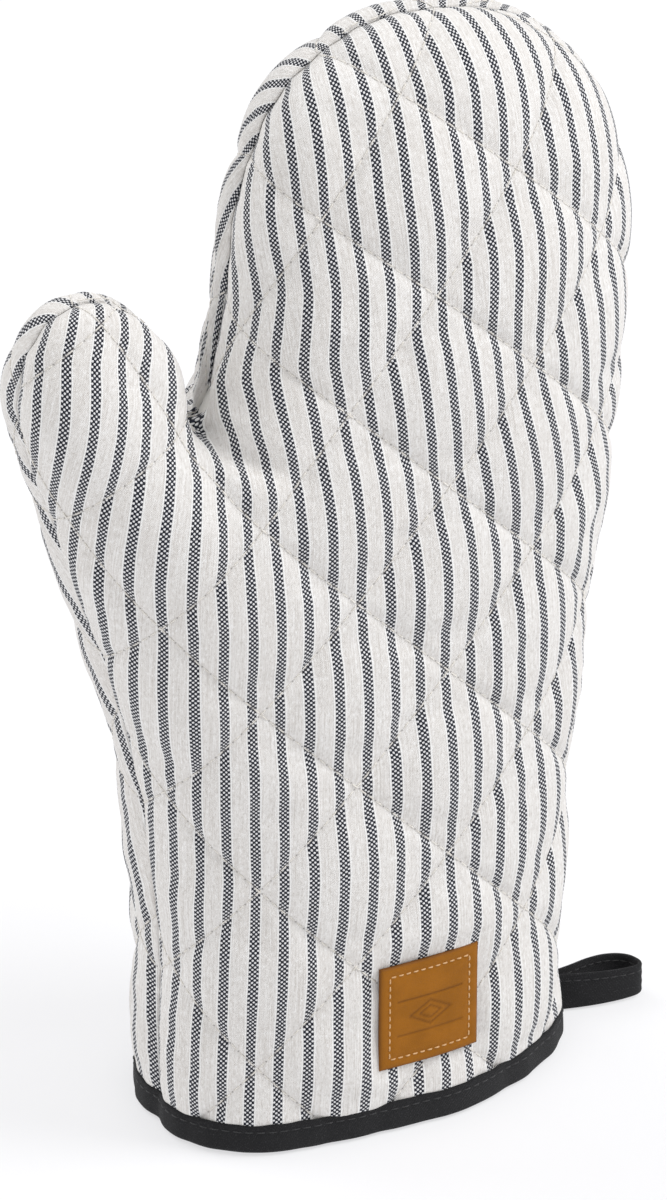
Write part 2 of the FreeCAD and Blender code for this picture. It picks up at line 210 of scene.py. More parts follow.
def cotangents(points, faces):
    """The cotangent at each corner of each triangle, and the triangles' areas."""
    found = []
    for k in range(3):
        a = points[faces[:, (k + 1) % 3]] - points[faces[:, k]]
        b = points[faces[:, (k + 2) % 3]] - points[faces[:, k]]
        dot = (a * b).sum(1)
        twice_area = np.sqrt(np.maximum((a * a).sum(1) * (b * b).sum(1) - dot ** 2, 1e-18))
        found.append(dot / twice_area)
    return np.stack(found, 1), twice_area / 2


def spring_net(faces, cots, count):
    """The product of the mesh's Laplacian with a vector, and its diagonal."""
    i = np.r_[faces[:, 1], faces[:, 2], faces[:, 0]]
    j = np.r_[faces[:, 2], faces[:, 0], faces[:, 1]]
    w = np.r_[cots[:, 0], cots[:, 1], cots[:, 2]] / 2
    diagonal = np.bincount(i, w, count) + np.bincount(j, w, count)

    def product(x):
        return diagonal * x - np.bincount(i, w * x[j], count) - np.bincount(j, w * x[i], count)

    return product, diagonal


def solve(product, diagonal, goal, free, start, rounds, tolerance):
    """Conjugate gradients, where only the free values move."""
    x = start.copy()
    residual = np.where(free, goal - product(x), 0.0)
    z = residual / diagonal
    p = z.copy()
    energy = residual @ z
    first = energy
    for _ in range(rounds):
        if energy <= tolerance ** 2 * first:
            break
        q = np.where(free, product(p), 0.0)
        step = energy / (p @ q)
        x += step * p
        residual -= step * q
        z = residual / diagonal
        new_energy = residual @ z
        p = z + new_energy / energy * p
        energy = new_energy
    return x


def flattened(form, faces, stiffness, start, crotch):
    """Lay the form out flat with as little stretch as can be, triangle by triangle.

    The two sides of the slit between thumb and hand are kept apart, because one cloth makes both."""
    cots, _ = cotangents(form, faces)
    cots = np.maximum(cots, 0.02) * stiffness[:, None]
    count = len(form)
    product, diagonal = spring_net(faces, cots, count)
    side = form[faces[:, 1]] - form[faces[:, 0]]
    length = np.linalg.norm(side, axis=1)
    along = side / length[:, None]
    other = form[faces[:, 2]] - form[faces[:, 0]]
    part = (other * along).sum(1)
    height = np.linalg.norm(other - part[:, None] * along, axis=1)
    flat = start.copy()
    turn = flat[faces[:, 1]] - flat[faces[:, 0]]
    tilt = flat[faces[:, 2]] - flat[faces[:, 0]]
    height *= np.sign(turn[:, 0] * tilt[:, 1] - turn[:, 1] * tilt[:, 0])
    local = np.zeros((len(faces), 3, 2))
    local[:, 1, 0] = length
    local[:, 2, 0] = part
    local[:, 2, 1] = height
    free = np.ones(count, bool)
    free[0] = False
    for turn_number in range(FLATTEN_ROUNDS):
        covariance = np.zeros((len(faces), 2, 2))
        corner = flat[faces]
        for k in range(3):
            i, j = (k + 1) % 3, (k + 2) % 3
            edge = corner[:, i] - corner[:, j]
            wanted = local[:, i] - local[:, j]
            covariance += cots[:, k, None, None] * edge[:, :, None] * wanted[:, None, :]
        angle = np.arctan2(covariance[:, 1, 0] - covariance[:, 0, 1],
                           covariance[:, 0, 0] + covariance[:, 1, 1])
        cosine, sine = np.cos(angle), np.sin(angle)
        goal = np.zeros((count, 2))
        for k in range(3):
            i, j = (k + 1) % 3, (k + 2) % 3
            edge = local[:, i] - local[:, j]
            pull = np.stack([cosine * edge[:, 0] - sine * edge[:, 1],
                             sine * edge[:, 0] + cosine * edge[:, 1]], 1)
            pull *= cots[:, k, None] / 2
            for axis in range(2):
                goal[:, axis] += np.bincount(faces[:, i], pull[:, axis], count)
                goal[:, axis] -= np.bincount(faces[:, j], pull[:, axis], count)
        # the slit: points that crossed its line are drawn back to their own side, once the rest has settled
        grip = np.zeros(count)
        home = flat[:, 0].copy()
        if turn_number >= FLATTEN_ROUNDS // 2:
            for members, sign in ((crotch["thumb_side"], -1.0), (crotch["hand_side"], 1.0)):
                clearance = np.minimum(np.abs(members - crotch["point"]) * 0.35, 3.0)
                short = clearance - sign * (flat[members, 0] - flat[crotch["point"], 0])
                wrong = short > -0.4
                home[members[wrong]] += sign * short[wrong]
                grip[members[wrong]] = 30.0
        flat[:, 0] = solve(lambda x: product(x) + grip * x, diagonal + grip, goal[:, 0] + grip * home,
                           free, flat[:, 0], 60, 1e-4)
        flat[:, 1] = solve(product, diagonal, goal[:, 1], free, flat[:, 1], 60, 1e-4)
    return flat


class Form:
    """The filled mitt: its seam, a mesh of one side, and the same mesh laid out flat as cloth."""

    def __init__(self):
        self.seam = smooth_line(SEAM_POINTS, BASE_STEP)
        floor_z = self.seam[0, 1]
        across = np.arange(self.seam[-1, 0] - BASE_STEP, self.seam[0, 0] + BASE_STEP / 2, -BASE_STEP)
        loop = np.vstack([self.seam, np.c_[across, np.full(len(across), floor_z)]])
        inward = rightward(self.seam)
        tree = tree_of(self.seam)
        layers = [loop]
        reach = 0.0
        for k in range(1, RINGS + 1):
            reach = (k * BASE_STEP * 0.85) ** 2 / (2 * END_RADIUS)
            ring = self.seam + inward * reach
            clear = nearest(tree, ring)[1] > reach * 0.93
            layers.append(ring[clear & (ring[:, 1] > floor_z + BASE_STEP / 2)])
        columns = np.arange(-100, 100, BASE_STEP)
        levels = np.arange(floor_z + BASE_STEP, DESIGN_HEIGHT, BASE_STEP * math.sqrt(0.75))
        grid = np.vstack([np.c_[columns + (row % 2) * BASE_STEP / 2, np.full(len(columns), z)]
                          for row, z in enumerate(levels)])
        grid = grid[is_inside(loop, grid)]
        grid = grid[nearest(tree, grid)[1] > reach + BASE_STEP * 0.6]
        self.rim = len(self.seam)
        self.plan, self.faces = triangulate(np.vstack([*layers, grid]), len(loop))
        self.inset = nearest(tree, self.plan)[1]
        self.depth = self.filled_depth()
        self.flat = self.laid_out()
        self.flat_tree = BVHTree.FromPolygons([(u, v, 0) for u, v in self.flat], self.faces.tolist())

    def filled_depth(self):
        """Half the thickness at each point: a skin blown up over the outline, as wide parts hold more."""
        cots, areas = cotangents(self.plan, self.faces)
        count = len(self.plan)
        load = np.bincount(self.faces.ravel(), np.repeat(areas / 3, 3), count)
        product, diagonal = spring_net(self.faces, cots, count)
        brake = load / SATURATION ** 2
        free = np.ones(count, bool)
        free[:self.rim] = False
        skin = solve(lambda x: product(x) + brake * x, diagonal + brake, load, free,
                     np.zeros(count), 3000, 1e-7)
        waist = 1 - WAIST * np.exp(-((self.plan[:, 1] - WAIST_LEVEL) / WAIST_REACH) ** 2)
        return DEPTH_FACTOR * waist * (2 * np.maximum(skin, 0)) ** DEPTH_POWER

    def laid_out(self):
        """The same mesh as flat cloth, with its origin under the cuff's middle."""
        near_crotch = (self.seam[:, 0] > -50) & (self.seam[:, 0] < -25)
        mid = np.argmin(np.where(near_crotch, self.seam[:, 1], 999))
        self.crotch = mid
        crotch = {"point": mid, "thumb_side": np.arange(mid - SLIT_POINTS, mid),
                  "hand_side": np.arange(mid + 1, mid + SLIT_POINTS + 1)}
        rough = np.c_[1.3 * (self.plan[:, 0] - CUFF_CENTRE), self.plan[:, 1]]
        body = np.c_[self.plan[:, 0], self.depth, self.plan[:, 1]]
        middle_share = np.clip(self.inset[self.faces].mean(1) / EDGE_WIDTH, 0, 1)
        stiffness = EDGE_STIFFNESS + (1 - EDGE_STIFFNESS) * middle_share
        flat = flattened(body, self.faces, stiffness, rough, crotch)
        # the cuff's middle line becomes the cloth's upright line
        middle = (np.abs(self.plan[:, 0] - CUFF_CENTRE) < 12) & (self.plan[:, 1] < 70)
        slope = np.polyfit(self.plan[middle, 1], flat[middle, 0], 1)[0]
        angle = math.atan(slope)
        turn = np.array([[math.cos(angle), -math.sin(angle)], [math.sin(angle), math.cos(angle)]])
        flat = flat @ turn.T
        centre = [self.plan[middle, 0].mean() - CUFF_CENTRE, self.plan[middle, 1].mean()]
        shift = flat[middle].mean(0) - centre
        return flat - shift

    def points(self, side):
        """The form's points on the front (side -1) or back (side 1)."""
        x, z = self.plan[:, 0], self.plan[:, 1]
        lean = np.clip((CUFF_CENTRE - x) / LEVEL_HALF_WIDTH, 0, 1) ** 1.5
        depth = self.depth
        if side == BACK:
            on_hand = np.clip((z - 190) / 40, 0, 1) * np.clip((x + 42) / 8, 0, 1)
            depth = depth * (1 - BACK_TAPER * on_hand * np.exp(-(self.inset / TAPER_REACH) ** 1.5))
            from_crotch = np.linalg.norm(self.plan - CROTCH, axis=1)
            depth = depth * (1 - CROTCH_HOLLOW * np.exp(-(from_crotch / HOLLOW_REACH) ** 2))
        return np.c_[x, side * depth - SEAM_FORWARD * lean, z]


# ------------------------------------------------------------------ layers on the form
GROOVE_DEPTH = 2.6               # how far the side seam draws in
GROOVE_REACH = 3.2
CREASE_START = (-39.0, 213.0)    # the fold from the crotch into the palm, in x and z
CREASE_END = (-24.0, 206.0)
CREASE_DEPTH = 3.8
CREASE_REACH = 3.5
CREASE_LIP = 1.5                 # the swelling under the fold


def quilt_distances(cloth):
    """Each cloth point's distance to the nearest stitch line of either family."""
    found = []
    for phase, sign in zip(QUILT_PHASE, (1, -1)):
        across = (cloth[:, 0] + sign * cloth[:, 1]) / math.sqrt(2) - phase
        found.append(np.abs((across + QUILT_PITCH / 2) % QUILT_PITCH - QUILT_PITCH / 2))
    return found


class Side:
    """The front or back of the mitt: finds the place and outward direction of any cloth point."""

    def __init__(self, form, side):
        self.form = form
        self.side = side
        self.place = form.points(side)
        faces = form.faces
        a, b, c = (self.place[faces[:, k]] for k in range(3))
        crossed = np.cross(b - a, c - a)
        crossed *= np.sign(crossed[:, 1] * side + 1e-12)[:, None]
        normals = np.zeros_like(self.place)
        for k in range(3):
            for axis in range(3):
                normals[:, axis] += np.bincount(faces[:, k], crossed[:, axis], len(self.place))
        outward = -rightward(form.seam)
        normals[:form.rim] = np.c_[outward[:, 0], np.zeros(form.rim), outward[:, 1]]
        self.normal = normals / np.linalg.norm(normals, axis=1)[:, None]
        self.edge_tree = tree_of(form.flat[:form.rim])

    def at(self, cloth, inset=0.0):
        """Points on the form (moved inward by inset) and their outward directions, for cloth points."""
        places, normals = [], []
        for s, t in cloth:
            spot, _, face, _ = self.form.flat_tree.find_nearest((s, t, 0))
            corners = self.form.faces[face]
            weights = corner_weights(self.form.flat[corners], (spot.x, spot.y))
            places.append(weights @ self.place[corners])
            normals.append(weights @ self.normal[corners])
        places = np.array(places)
        normals = np.array(normals)
        normals /= np.linalg.norm(normals, axis=1)[:, None]
        return places - normals * np.reshape(inset, (-1, 1)), normals

    def edge(self, cloth):
        """Distance along the cloth to the side seam, and the seam's outward direction there."""
        index, distance = nearest(self.edge_tree, cloth)
        return distance, self.normal[index]


def corner_weights(corners, point):
    """How much each corner of a flat triangle counts at a point."""
    (x1, y1), (x2, y2), (x3, y3) = corners
    total = (y2 - y3) * (x1 - x3) + (x3 - x2) * (y1 - y3)
    first = ((y2 - y3) * (point[0] - x3) + (x3 - x2) * (point[1] - y3)) / total
    second = ((y3 - y1) * (point[0] - x3) + (x1 - x3) * (point[1] - y3)) / total
    return np.array([first, second, 1 - first - second])


def crease(places):
    """Depth of the fold that runs from the crotch into the palm."""
    start, end = np.array(CREASE_START), np.array(CREASE_END)
    along = (end - start) / np.linalg.norm(end - start)
    offset = places[:, [0, 2]] - start
    run = offset @ along / np.linalg.norm(end - start)
    across = offset @ np.array([-along[1], along[0]])
    fade = np.clip(1.25 - np.abs(run - 0.25) * 1.05, 0, 1) ** 1.5
    fold = CREASE_DEPTH * np.exp(-(across / CREASE_REACH) ** 2)
    lip = CREASE_LIP * np.exp(-((across + 1.9 * CREASE_REACH) / (1.3 * CREASE_REACH)) ** 2)
    return fade * (fold - lip)


def drawn_in(side, places, normals, cloth):
    """Layer points with the side seam's groove and the crotch fold pressed in, and the seam's gap."""
    distance, outward = side.edge(cloth)
    groove = GROOVE_DEPTH * np.exp(-(distance / GROOVE_REACH) ** 1.5)
    places = places - outward * groove[:, None]
    places = places - normals * crease(places)[:, None]
    places[:, 1] += side.side * SEAM_GAP / 2
    return places


def puffed(cloth, distance, height):
    """How far the padding lifts each cloth point between its stitch lines."""
    first, second = quilt_distances(cloth)
    lift = (np.sin(math.pi * first / QUILT_PITCH) * np.sin(math.pi * second / QUILT_PITCH)) ** 0.5
    return height * lift * (1 - 0.75 * np.exp(-distance / 7.0))


# ------------------------------------------------------------------ meshes on the flat cloth
def cloth_rim(side, step):
    """The border of a panel's cloth: up the side seam, round, and back along the cuff."""
    flat = side.form.flat[:side.form.rim]
    seam_z = side.form.seam[:, 1]
    above = np.nonzero(seam_z > PANEL_BOTTOM + step / 3)[0]
    ends = []
    for i, j in ((above[0] - 1, above[0]), (above[-1] + 1, above[-1])):
        share = (PANEL_BOTTOM - seam_z[i]) / (seam_z[j] - seam_z[i])
        ends.append(flat[i] + share * (flat[j] - flat[i]))
    chain = np.vstack([ends[0], flat[above], ends[1]])
    turn = side.form.crotch - above[0] + 1
    line = np.vstack([spaced(chain[:turn + 1], step), spaced(chain[turn:], step)[1:]])
    count = int(np.linalg.norm(ends[0] - ends[1]) / step)
    cuff = ends[1] + (ends[0] - ends[1]) * (np.arange(1, count) / count)[:, None]
    for _ in range(4):
        cuff[:, 1] += PANEL_BOTTOM - side.at(cuff)[0][:, 2]
    return np.vstack([line, cuff])


def cloth_mesh(side, cells):
    """Cloth points on a grid that follows the stitch lines, cut to the panel's outline, and their faces."""
    step = QUILT_PITCH / cells
    rim = cloth_rim(side, step)
    span = range(-12 * cells, 12 * cells)
    first = QUILT_PHASE[0] + np.array([i for i in span for _ in span]) * step
    second = QUILT_PHASE[1] + np.array([j for _ in span for j in span]) * step
    grid = np.c_[first + second, first - second] / math.sqrt(2)
    low, high = rim.min(0), rim.max(0)
    grid = grid[((grid > low) & (grid < high)).all(1)]
    grid = grid[is_inside(rim, grid)]
    grid = grid[nearest(tree_of(rim), grid)[1] > step * 0.6]
    points, faces = triangulate(np.vstack([rim, grid]), len(rim))
    return points, faces, len(rim)


def stripe_places(cloth, places):
    """Where each cloth point lies across the stripes, in millimetres."""
    s, t = cloth.T
    low, high = GATHER_LEVELS
    in_hand = np.clip((t - low) / (high - low), 0, 1)
    in_hand = in_hand * in_hand * (3 - 2 * in_hand)
    across = s + HAND_GATHER * in_hand * (s - GATHER_CENTRE) - STRIPE_LEAN * t
    across += PALM_LEAN * np.clip(t - PALM_LEVELS[0], 0, PALM_LEVELS[1] - PALM_LEVELS[0])
    across -= np.interp(t, *zip(*HAND_DRIFT))
    # on the thumb's side the stripes run a little further apart and more upright
    low, high = THUMB_LEVELS
    on_thumb = np.clip((THUMB_SIDE - places[:, 0]) / THUMB_SOFT, 0, 1)
    share = np.maximum(on_thumb, np.clip((258 - t) / 22, 0, 1))
    upright = THUMB_UPRIGHT * np.clip(t - low, 0, high - low) * np.clip(-s / 75, 0, 1.15) ** 2
    return across + share * (THUMB_SPREAD * np.clip(5 - s, 0, 40) + upright)


def piece_from(name, places, faces, cloth=None, material=None):
    """A Blender object from millimetre points, with the cloth's own coordinates as its UVs."""
    mesh = bpy.data.meshes.new(name)
    mesh.from_pydata((np.asarray(places) * MM).tolist(), [], [list(map(int, f)) for f in faces])
    mesh.validate()
    if cloth is not None:
        layer = mesh.uv_layers.new(name="Cloth")
        index = np.zeros(len(mesh.loops), int)
        mesh.loops.foreach_get("vertex_index", index)
        layer.data.foreach_set("uv", (np.asarray(cloth)[index] * MM).ravel())
    piece = bpy.data.objects.new(name, mesh)
    bpy.context.scene.collection.objects.link(piece)
    if material:
        mesh.materials.append(material)
    return piece


def merge_into_quads(piece, outward=None):
    """Pairs of triangles become quads where they make a good one, and faces are turned to face outward."""
    work = bmesh.new()
    work.from_mesh(piece.data)
    bmesh.ops.join_triangles(work, faces=work.faces, angle_face_threshold=0.7, angle_shape_threshold=0.7)
    bmesh.ops.recalc_face_normals(work, faces=work.faces)
    if outward is not None:
        centre = sum((f.normal * f.calc_area() for f in work.faces), Vector())
        if centre.dot(Vector(outward)) < 0:
            bmesh.ops.reverse_faces(work, faces=work.faces)
    work.to_mesh(piece.data)
    work.free()


def smooth_shade(piece):
    piece.data.shade_smooth()


def apply_modifiers(piece):
    """Replace the piece's mesh by what its modifiers make of it."""
    bpy.context.view_layer.update()
    made = bpy.data.meshes.new_from_object(piece.evaluated_get(bpy.context.evaluated_depsgraph_get()))
    made.name = piece.name
    piece.modifiers.clear()
    old = piece.data
    piece.data = made
    bpy.data.meshes.remove(old)
    return piece


def vertex_places(piece):
    """The piece's vertices, in metres."""
    found = np.zeros(len(piece.data.vertices) * 3)
    piece.data.vertices.foreach_get("co", found)
    return found.reshape(-1, 3)


def sharpen_lines(piece, distances):
    """Keep the stitched valleys sharp when the cloth is subdivided."""
    ends = np.zeros(len(piece.data.edges) * 2, int)
    piece.data.edges.foreach_get("vertices", ends)
    i, j = ends.reshape(-1, 2).T
    sharp = np.zeros(len(i), bool)
    for distance in distances:
        sharp |= (distance[i] < LINE_WIDTH) & (distance[j] < LINE_WIDTH)
    layer = piece.data.attributes.new("crease_edge", "FLOAT", "EDGE")
    layer.data.foreach_set("value", np.where(sharp, LINE_SHARPNESS, 0.0).astype(np.float32))


# ------------------------------------------------------------------ cloth simulation
CLOTH_FRAMES = 16
SLACK = 0.012                    # how much wider than its place the cloth is cut, between stitch lines
PRESSURE = 1.2
CLOTH_TRAVEL = 2.0               # the furthest that the simulation may move a point


def settle_as_cloth(piece, held):
    """Blow the padding into the cloth: held points stay, the rest swells and wrinkles."""
    before = vertex_places(piece)
    group = piece.vertex_groups.new(name="held")
    group.add([int(k) for k in held], 1.0, "REPLACE")
    cloth = piece.modifiers.new("Cloth", "CLOTH")
    settings = cloth.settings
    settings.quality = 6
    settings.mass = 0.1
    settings.tension_stiffness = 20
    settings.compression_stiffness = 20
    settings.shear_stiffness = 8
    settings.bending_stiffness = 0.6
    settings.shrink_min = -SLACK
    settings.vertex_group_mass = "held"
    settings.use_pressure = True
    settings.uniform_pressure_force = PRESSURE
    settings.effector_weights.gravity = 0
    cloth.collision_settings.use_collision = False
    cloth.point_cache.frame_end = CLOTH_FRAMES
    scene = bpy.context.scene
    for number in range(1, CLOTH_FRAMES + 1):
        scene.frame_set(number)
    evaluated = piece.evaluated_get(bpy.context.evaluated_depsgraph_get())
    after = np.zeros(len(before) * 3)
    evaluated.data.vertices.foreach_get("co", after)
    after = after.reshape(-1, 3)
    move = after - before
    length = np.linalg.norm(move, axis=1)
    cap = CLOTH_TRAVEL * MM
    move *= (cap * np.tanh(length / cap) / np.maximum(length, 1e-9))[:, None]
    piece.modifiers.remove(cloth)
    piece.vertex_groups.remove(group)
    piece.data.vertices.foreach_set("co", (before + move).ravel())
    piece.data.update()
    scene.frame_set(1)


# ------------------------------------------------------------------ materials
class Nodes:
    """A new material and short ways to add its nodes."""

    def __init__(self, name):
        self.material = bpy.data.materials.new(name)
        self.material.use_nodes = True
        self.tree = self.material.node_tree
        self.shader = self.tree.nodes["Principled BSDF"]

    def add(self, kind, **settings):
        node = self.tree.nodes.new(kind)
        for key, value in settings.items():
            setattr(node, key, value)
        return node

    def link(self, source, target):
        """Feed a socket from a number, a colour or another socket."""
        if isinstance(source, (int, float)):
            target.default_value = source
        elif isinstance(source, tuple):
            target.default_value = (*source, 1.0) if len(target.default_value) == 4 else source
        else:
            self.tree.links.new(source, target)

    def math(self, operation, a, b=0.0):
        node = self.add("ShaderNodeMath", operation=operation)
        for socket, value in zip(node.inputs, (a, b)):
            self.link(value, socket)
        return node.outputs[0]

    def plus(self, a, b):
        return self.math("ADD", a, b)

    def minus(self, a, b):
        return self.math("SUBTRACT", a, b)

    def times(self, a, b):
        return self.math("MULTIPLY", a, b)

    def ramp(self, value, low, high):
        """A smooth step from 0 at low to 1 at high."""
        node = self.add("ShaderNodeMapRange", interpolation_type="SMOOTHSTEP")
        for key, given in (("Value", value), ("From Min", low), ("From Max", high)):
            self.link(given, node.inputs[key])
        return node.outputs[0]

    def mix(self, share, a, b):
        """Colour a where share is 0 and colour b where it is 1."""
        node = self.add("ShaderNodeMix", data_type="RGBA", blend_type="MIX")
        self.link(share, node.inputs[0])
        self.link(a, node.inputs[6])
        self.link(b, node.inputs[7])
        return node.outputs[2]

    def cloth_axes(self):
        """The two cloth coordinates of a point, in millimetres."""
        uv = self.add("ShaderNodeUVMap", uv_map="Cloth")
        split = self.add("ShaderNodeSeparateXYZ")
        self.link(uv.outputs[0], split.inputs[0])
        return self.math("DIVIDE", split.outputs[0], MM), self.math("DIVIDE", split.outputs[1], MM)

    def join(self, x, y):
        """A vector from two coordinates."""
        node = self.add("ShaderNodeCombineXYZ")
        for socket, value in zip(node.inputs, (x, y)):
            self.link(value, socket)
        return node.outputs[0]

    def object_millimetres(self):
        """A point's own place in its piece, in millimetres."""
        place = self.add("ShaderNodeTexCoord")
        scaled = self.add("ShaderNodeVectorMath", operation="SCALE")
        self.link(place.outputs["Object"], scaled.inputs[0])
        scaled.inputs["Scale"].default_value = 1 / MM
        return scaled.outputs[0]

    def noise(self, vector, scale, detail=2.0, rough=0.5):
        node = self.add("ShaderNodeTexNoise")
        self.link(vector, node.inputs["Vector"])
        node.inputs["Scale"].default_value = scale
        node.inputs["Detail"].default_value = detail
        node.inputs["Roughness"].default_value = rough
        return node.outputs["Fac"]

    def bump(self, height, depth):
        """Surface relief; depth in millimetres."""
        node = self.add("ShaderNodeBump")
        node.inputs["Strength"].default_value = 1.0
        node.inputs["Distance"].default_value = depth * MM
        self.link(height, node.inputs["Height"])
        self.link(node.outputs[0], self.shader.inputs["Normal"])

    def finish(self, color, roughness, **constants):
        """Colour, roughness and constant shader values; gives the material."""
        self.link(color, self.shader.inputs["Base Color"])
        self.link(roughness, self.shader.inputs["Roughness"])
        for key, value in constants.items():
            self.shader.inputs[key.replace("_", " ")].default_value = value
        return self.material


NAVY_WIDTH = 2.72                # of one stripe: four columns of checks
COLUMN = 0.68                    # width of a column
ROW = 1.35                       # height of a dark and a pale check
CORD_WIDTH = 0.55                # of the white cord beside the checks
STITCH_PITCH = 3.4               # of the quilting
STITCH_LENGTH = 2.7
FINE_WEAVE = (0.52, 0.50)        # thread spacing of the natural band, across and along


def striped_cotton():
    """Woven stripes: columns of navy checks between white cords, on a band of natural plain weave."""
    n = Nodes("striped_cotton")
    s, t = n.cloth_axes()
    drift = n.noise(n.join(n.times(s, 0.3), n.times(t, 0.08)), 1.0, 3.0)
    wander = n.times(n.minus(drift, 0.5), 0.5)
    stripe = n.add("ShaderNodeAttribute", attribute_name="stripe").outputs["Fac"]
    across = n.plus(n.plus(stripe, wander), STRIPE_PHASE)
    place = n.math("FLOORED_MODULO", across, STRIPE_PITCH)
    cell_noise = n.noise(n.join(n.math("DIVIDE", s, COLUMN), n.math("DIVIDE", t, ROW / 2)), 1.3, 1.0)
    # navy checks
    column_wave = n.math("SINE", n.times(place, math.pi / COLUMN))
    row_wave = n.math("SINE", n.times(n.plus(t, n.times(wander, 2.0)), 2 * math.pi / ROW))
    check = n.times(column_wave, row_wave)
    in_stripe = n.times(n.ramp(place, 0.0, 0.06), n.ramp(place, NAVY_WIDTH, NAVY_WIDTH - 0.06))
    dark = n.times(n.ramp(check, -0.42, -0.05), in_stripe)
    navy = n.mix(n.ramp(cell_noise, 0.35, 0.72), (0.003, 0.004, 0.010), (0.022, 0.027, 0.045))
    # white cords on both sides
    right_cord = n.times(n.ramp(place, NAVY_WIDTH, NAVY_WIDTH + 0.08),
                        n.ramp(place, NAVY_WIDTH + CORD_WIDTH, NAVY_WIDTH + CORD_WIDTH - 0.12))
    left_cord = n.ramp(place, STRIPE_PITCH - CORD_WIDTH, STRIPE_PITCH - CORD_WIDTH + 0.12)
    cord = n.math("MAXIMUM", right_cord, left_cord)
    # natural band
    fine_weave = n.times(n.math("SINE", n.times(s, 2 * math.pi / FINE_WEAVE[0])),
                         n.math("SINE", n.times(t, 2 * math.pi / FINE_WEAVE[1])))
    slub = n.noise(n.join(n.times(s, 3.2), n.times(t, 0.05)), 1.0, 2.0)
    speck = n.noise(n.join(n.times(s, 2.6), n.times(t, 1.1)), 1.0, 3.0, 0.7)
    tone = n.noise(n.join(n.times(s, 0.04), n.times(t, 0.03)), 1.0, 2.0)
    band = n.mix(n.ramp(tone, 0.35, 0.65), (0.70, 0.675, 0.65), (0.73, 0.71, 0.69))
    mottle = n.noise(n.join(n.times(s, 1.5), n.times(t, 0.55)), 1.0, 3.0, 0.75)
    band = n.mix(n.ramp(slub, 0.5, 0.68), band, (0.80, 0.785, 0.77))
    band = n.mix(n.ramp(slub, 0.45, 0.3), band, (0.60, 0.57, 0.54))
    band = n.mix(n.times(n.ramp(mottle, 0.52, 0.66), 0.75), band, (0.56, 0.53, 0.50))
    band = n.mix(n.times(n.ramp(mottle, 0.46, 0.34), 0.75), band, (0.88, 0.875, 0.87))
    band = n.mix(n.ramp(speck, 0.60, 0.72), band, (0.46, 0.42, 0.38))
    weave_shade = n.ramp(fine_weave, -0.4, 0.6)
    band = n.mix(n.times(weave_shade, 0.22), band, (0.86, 0.85, 0.84))
    color = n.mix(in_stripe, band, (0.80, 0.80, 0.81))
    color = n.mix(n.times(cord, 0.8), color, (0.88, 0.88, 0.875))
    color = n.mix(dark, color, navy)
    # painted shade: dark dots in the needle holes along the stitch lines, and a faint painted shade line in
    # the valley where the cloth is drawn down
    for phase, sign in zip(QUILT_PHASE, (1, -1)):
        across = n.times(n.plus(s, n.times(t, sign)), math.sqrt(0.5))
        run = n.times(n.minus(s, n.times(t, sign)), math.sqrt(0.5))
        off = n.math("FLOORED_MODULO", n.minus(across, phase - QUILT_PITCH / 2), QUILT_PITCH)
        off = n.math("ABSOLUTE", n.minus(off, QUILT_PITCH / 2))
        step = n.math("FLOORED_MODULO", run, STITCH_PITCH)
        step = n.math("ABSOLUTE", n.minus(step, STITCH_PITCH / 2))
        gap = n.minus(STITCH_PITCH / 2, step)
        radius = n.math("SQRT", n.plus(n.times(off, off), n.times(gap, gap)))
        # painted shade: each needle hole is darkened as if in shade
        hole_shade = n.times(n.ramp(radius, 0.36, 0.16), 0.6)
        color = n.mix(hole_shade, color, (0.12, 0.11, 0.10))
        # painted shade: a faint darker line along the bottom of each stitched valley
        line = n.times(n.ramp(off, 0.7, 0.1), 0.18)
        color = n.mix(line, color, (0.45, 0.42, 0.40))
    relief = n.plus(n.times(fine_weave, 0.35), n.times(speck, 0.5))
    relief = n.plus(relief, n.times(n.times(n.math("ABSOLUTE", check), in_stripe), 0.8))
    relief = n.plus(relief, n.times(cord, 0.9))
    n.bump(relief, 0.10)
    return n.finish(color, 0.93, Sheen_Weight=0.12, Sheen_Roughness=0.6, Specular_IOR_Level=0.2)


def plain_weave(name, dark, light, pitch, depth, speckle, speckle_share=0.5):
    """A plain or twill weave in two tones, with paler specks."""
    n = Nodes(name)
    s, t = n.cloth_axes()
    diagonal = n.math("SINE", n.times(n.plus(s, n.times(t, 0.8)), 2 * math.pi / pitch))
    cross = n.math("SINE", n.times(n.minus(t, n.times(s, 0.15)), 2 * math.pi / (pitch * 0.8)))
    weave = n.times(diagonal, cross)
    speck = n.noise(n.join(s, t), 2.6, 3.0, 0.75)
    tone = n.noise(n.join(n.times(s, 0.15), n.times(t, 0.15)), 1.0, 2.0)
    color = n.mix(n.ramp(weave, -0.6, 0.8), dark, light)
    color = n.mix(n.times(n.ramp(speck, 0.56, 0.70), speckle_share), color, speckle)
    color = n.mix(n.times(n.ramp(tone, 0.4, 0.7), 0.25), color, dark)
    n.bump(n.plus(weave, n.times(speck, 1.2)), depth)
    return n, color


def black_tape():
    """Black cotton tape with worn, paler threads."""
    n, color = plain_weave("black_tape", (0.007, 0.007, 0.008), (0.015, 0.015, 0.017), 0.55, 0.06,
                           (0.10, 0.10, 0.105), 0.7)
    return n.finish(color, 0.85, Sheen_Weight=0.05, Sheen_Roughness=0.5, Specular_IOR_Level=0.25)


def lining_cotton():
    """Plain off-white cotton."""
    n, color = plain_weave("lining_cotton", (0.60, 0.58, 0.54), (0.74, 0.72, 0.69), 0.5, 0.05,
                           (0.42, 0.39, 0.35), 0.3)
    return n.finish(color, 0.92, Sheen_Weight=0.1)


def batting_fleece():
    """Loose pale wadding."""
    n = Nodes("batting")
    place = n.object_millimetres()
    tuft = n.noise(place, 0.5, 4.0, 0.7)
    fibre = n.noise(place, 3.0, 3.0, 0.7)
    color = n.mix(tuft, (0.62, 0.60, 0.56), (0.82, 0.80, 0.77))
    n.bump(n.plus(tuft, n.times(fibre, 0.5)), 0.4)
    return n.finish(color, 0.97, Sheen_Weight=0.2)


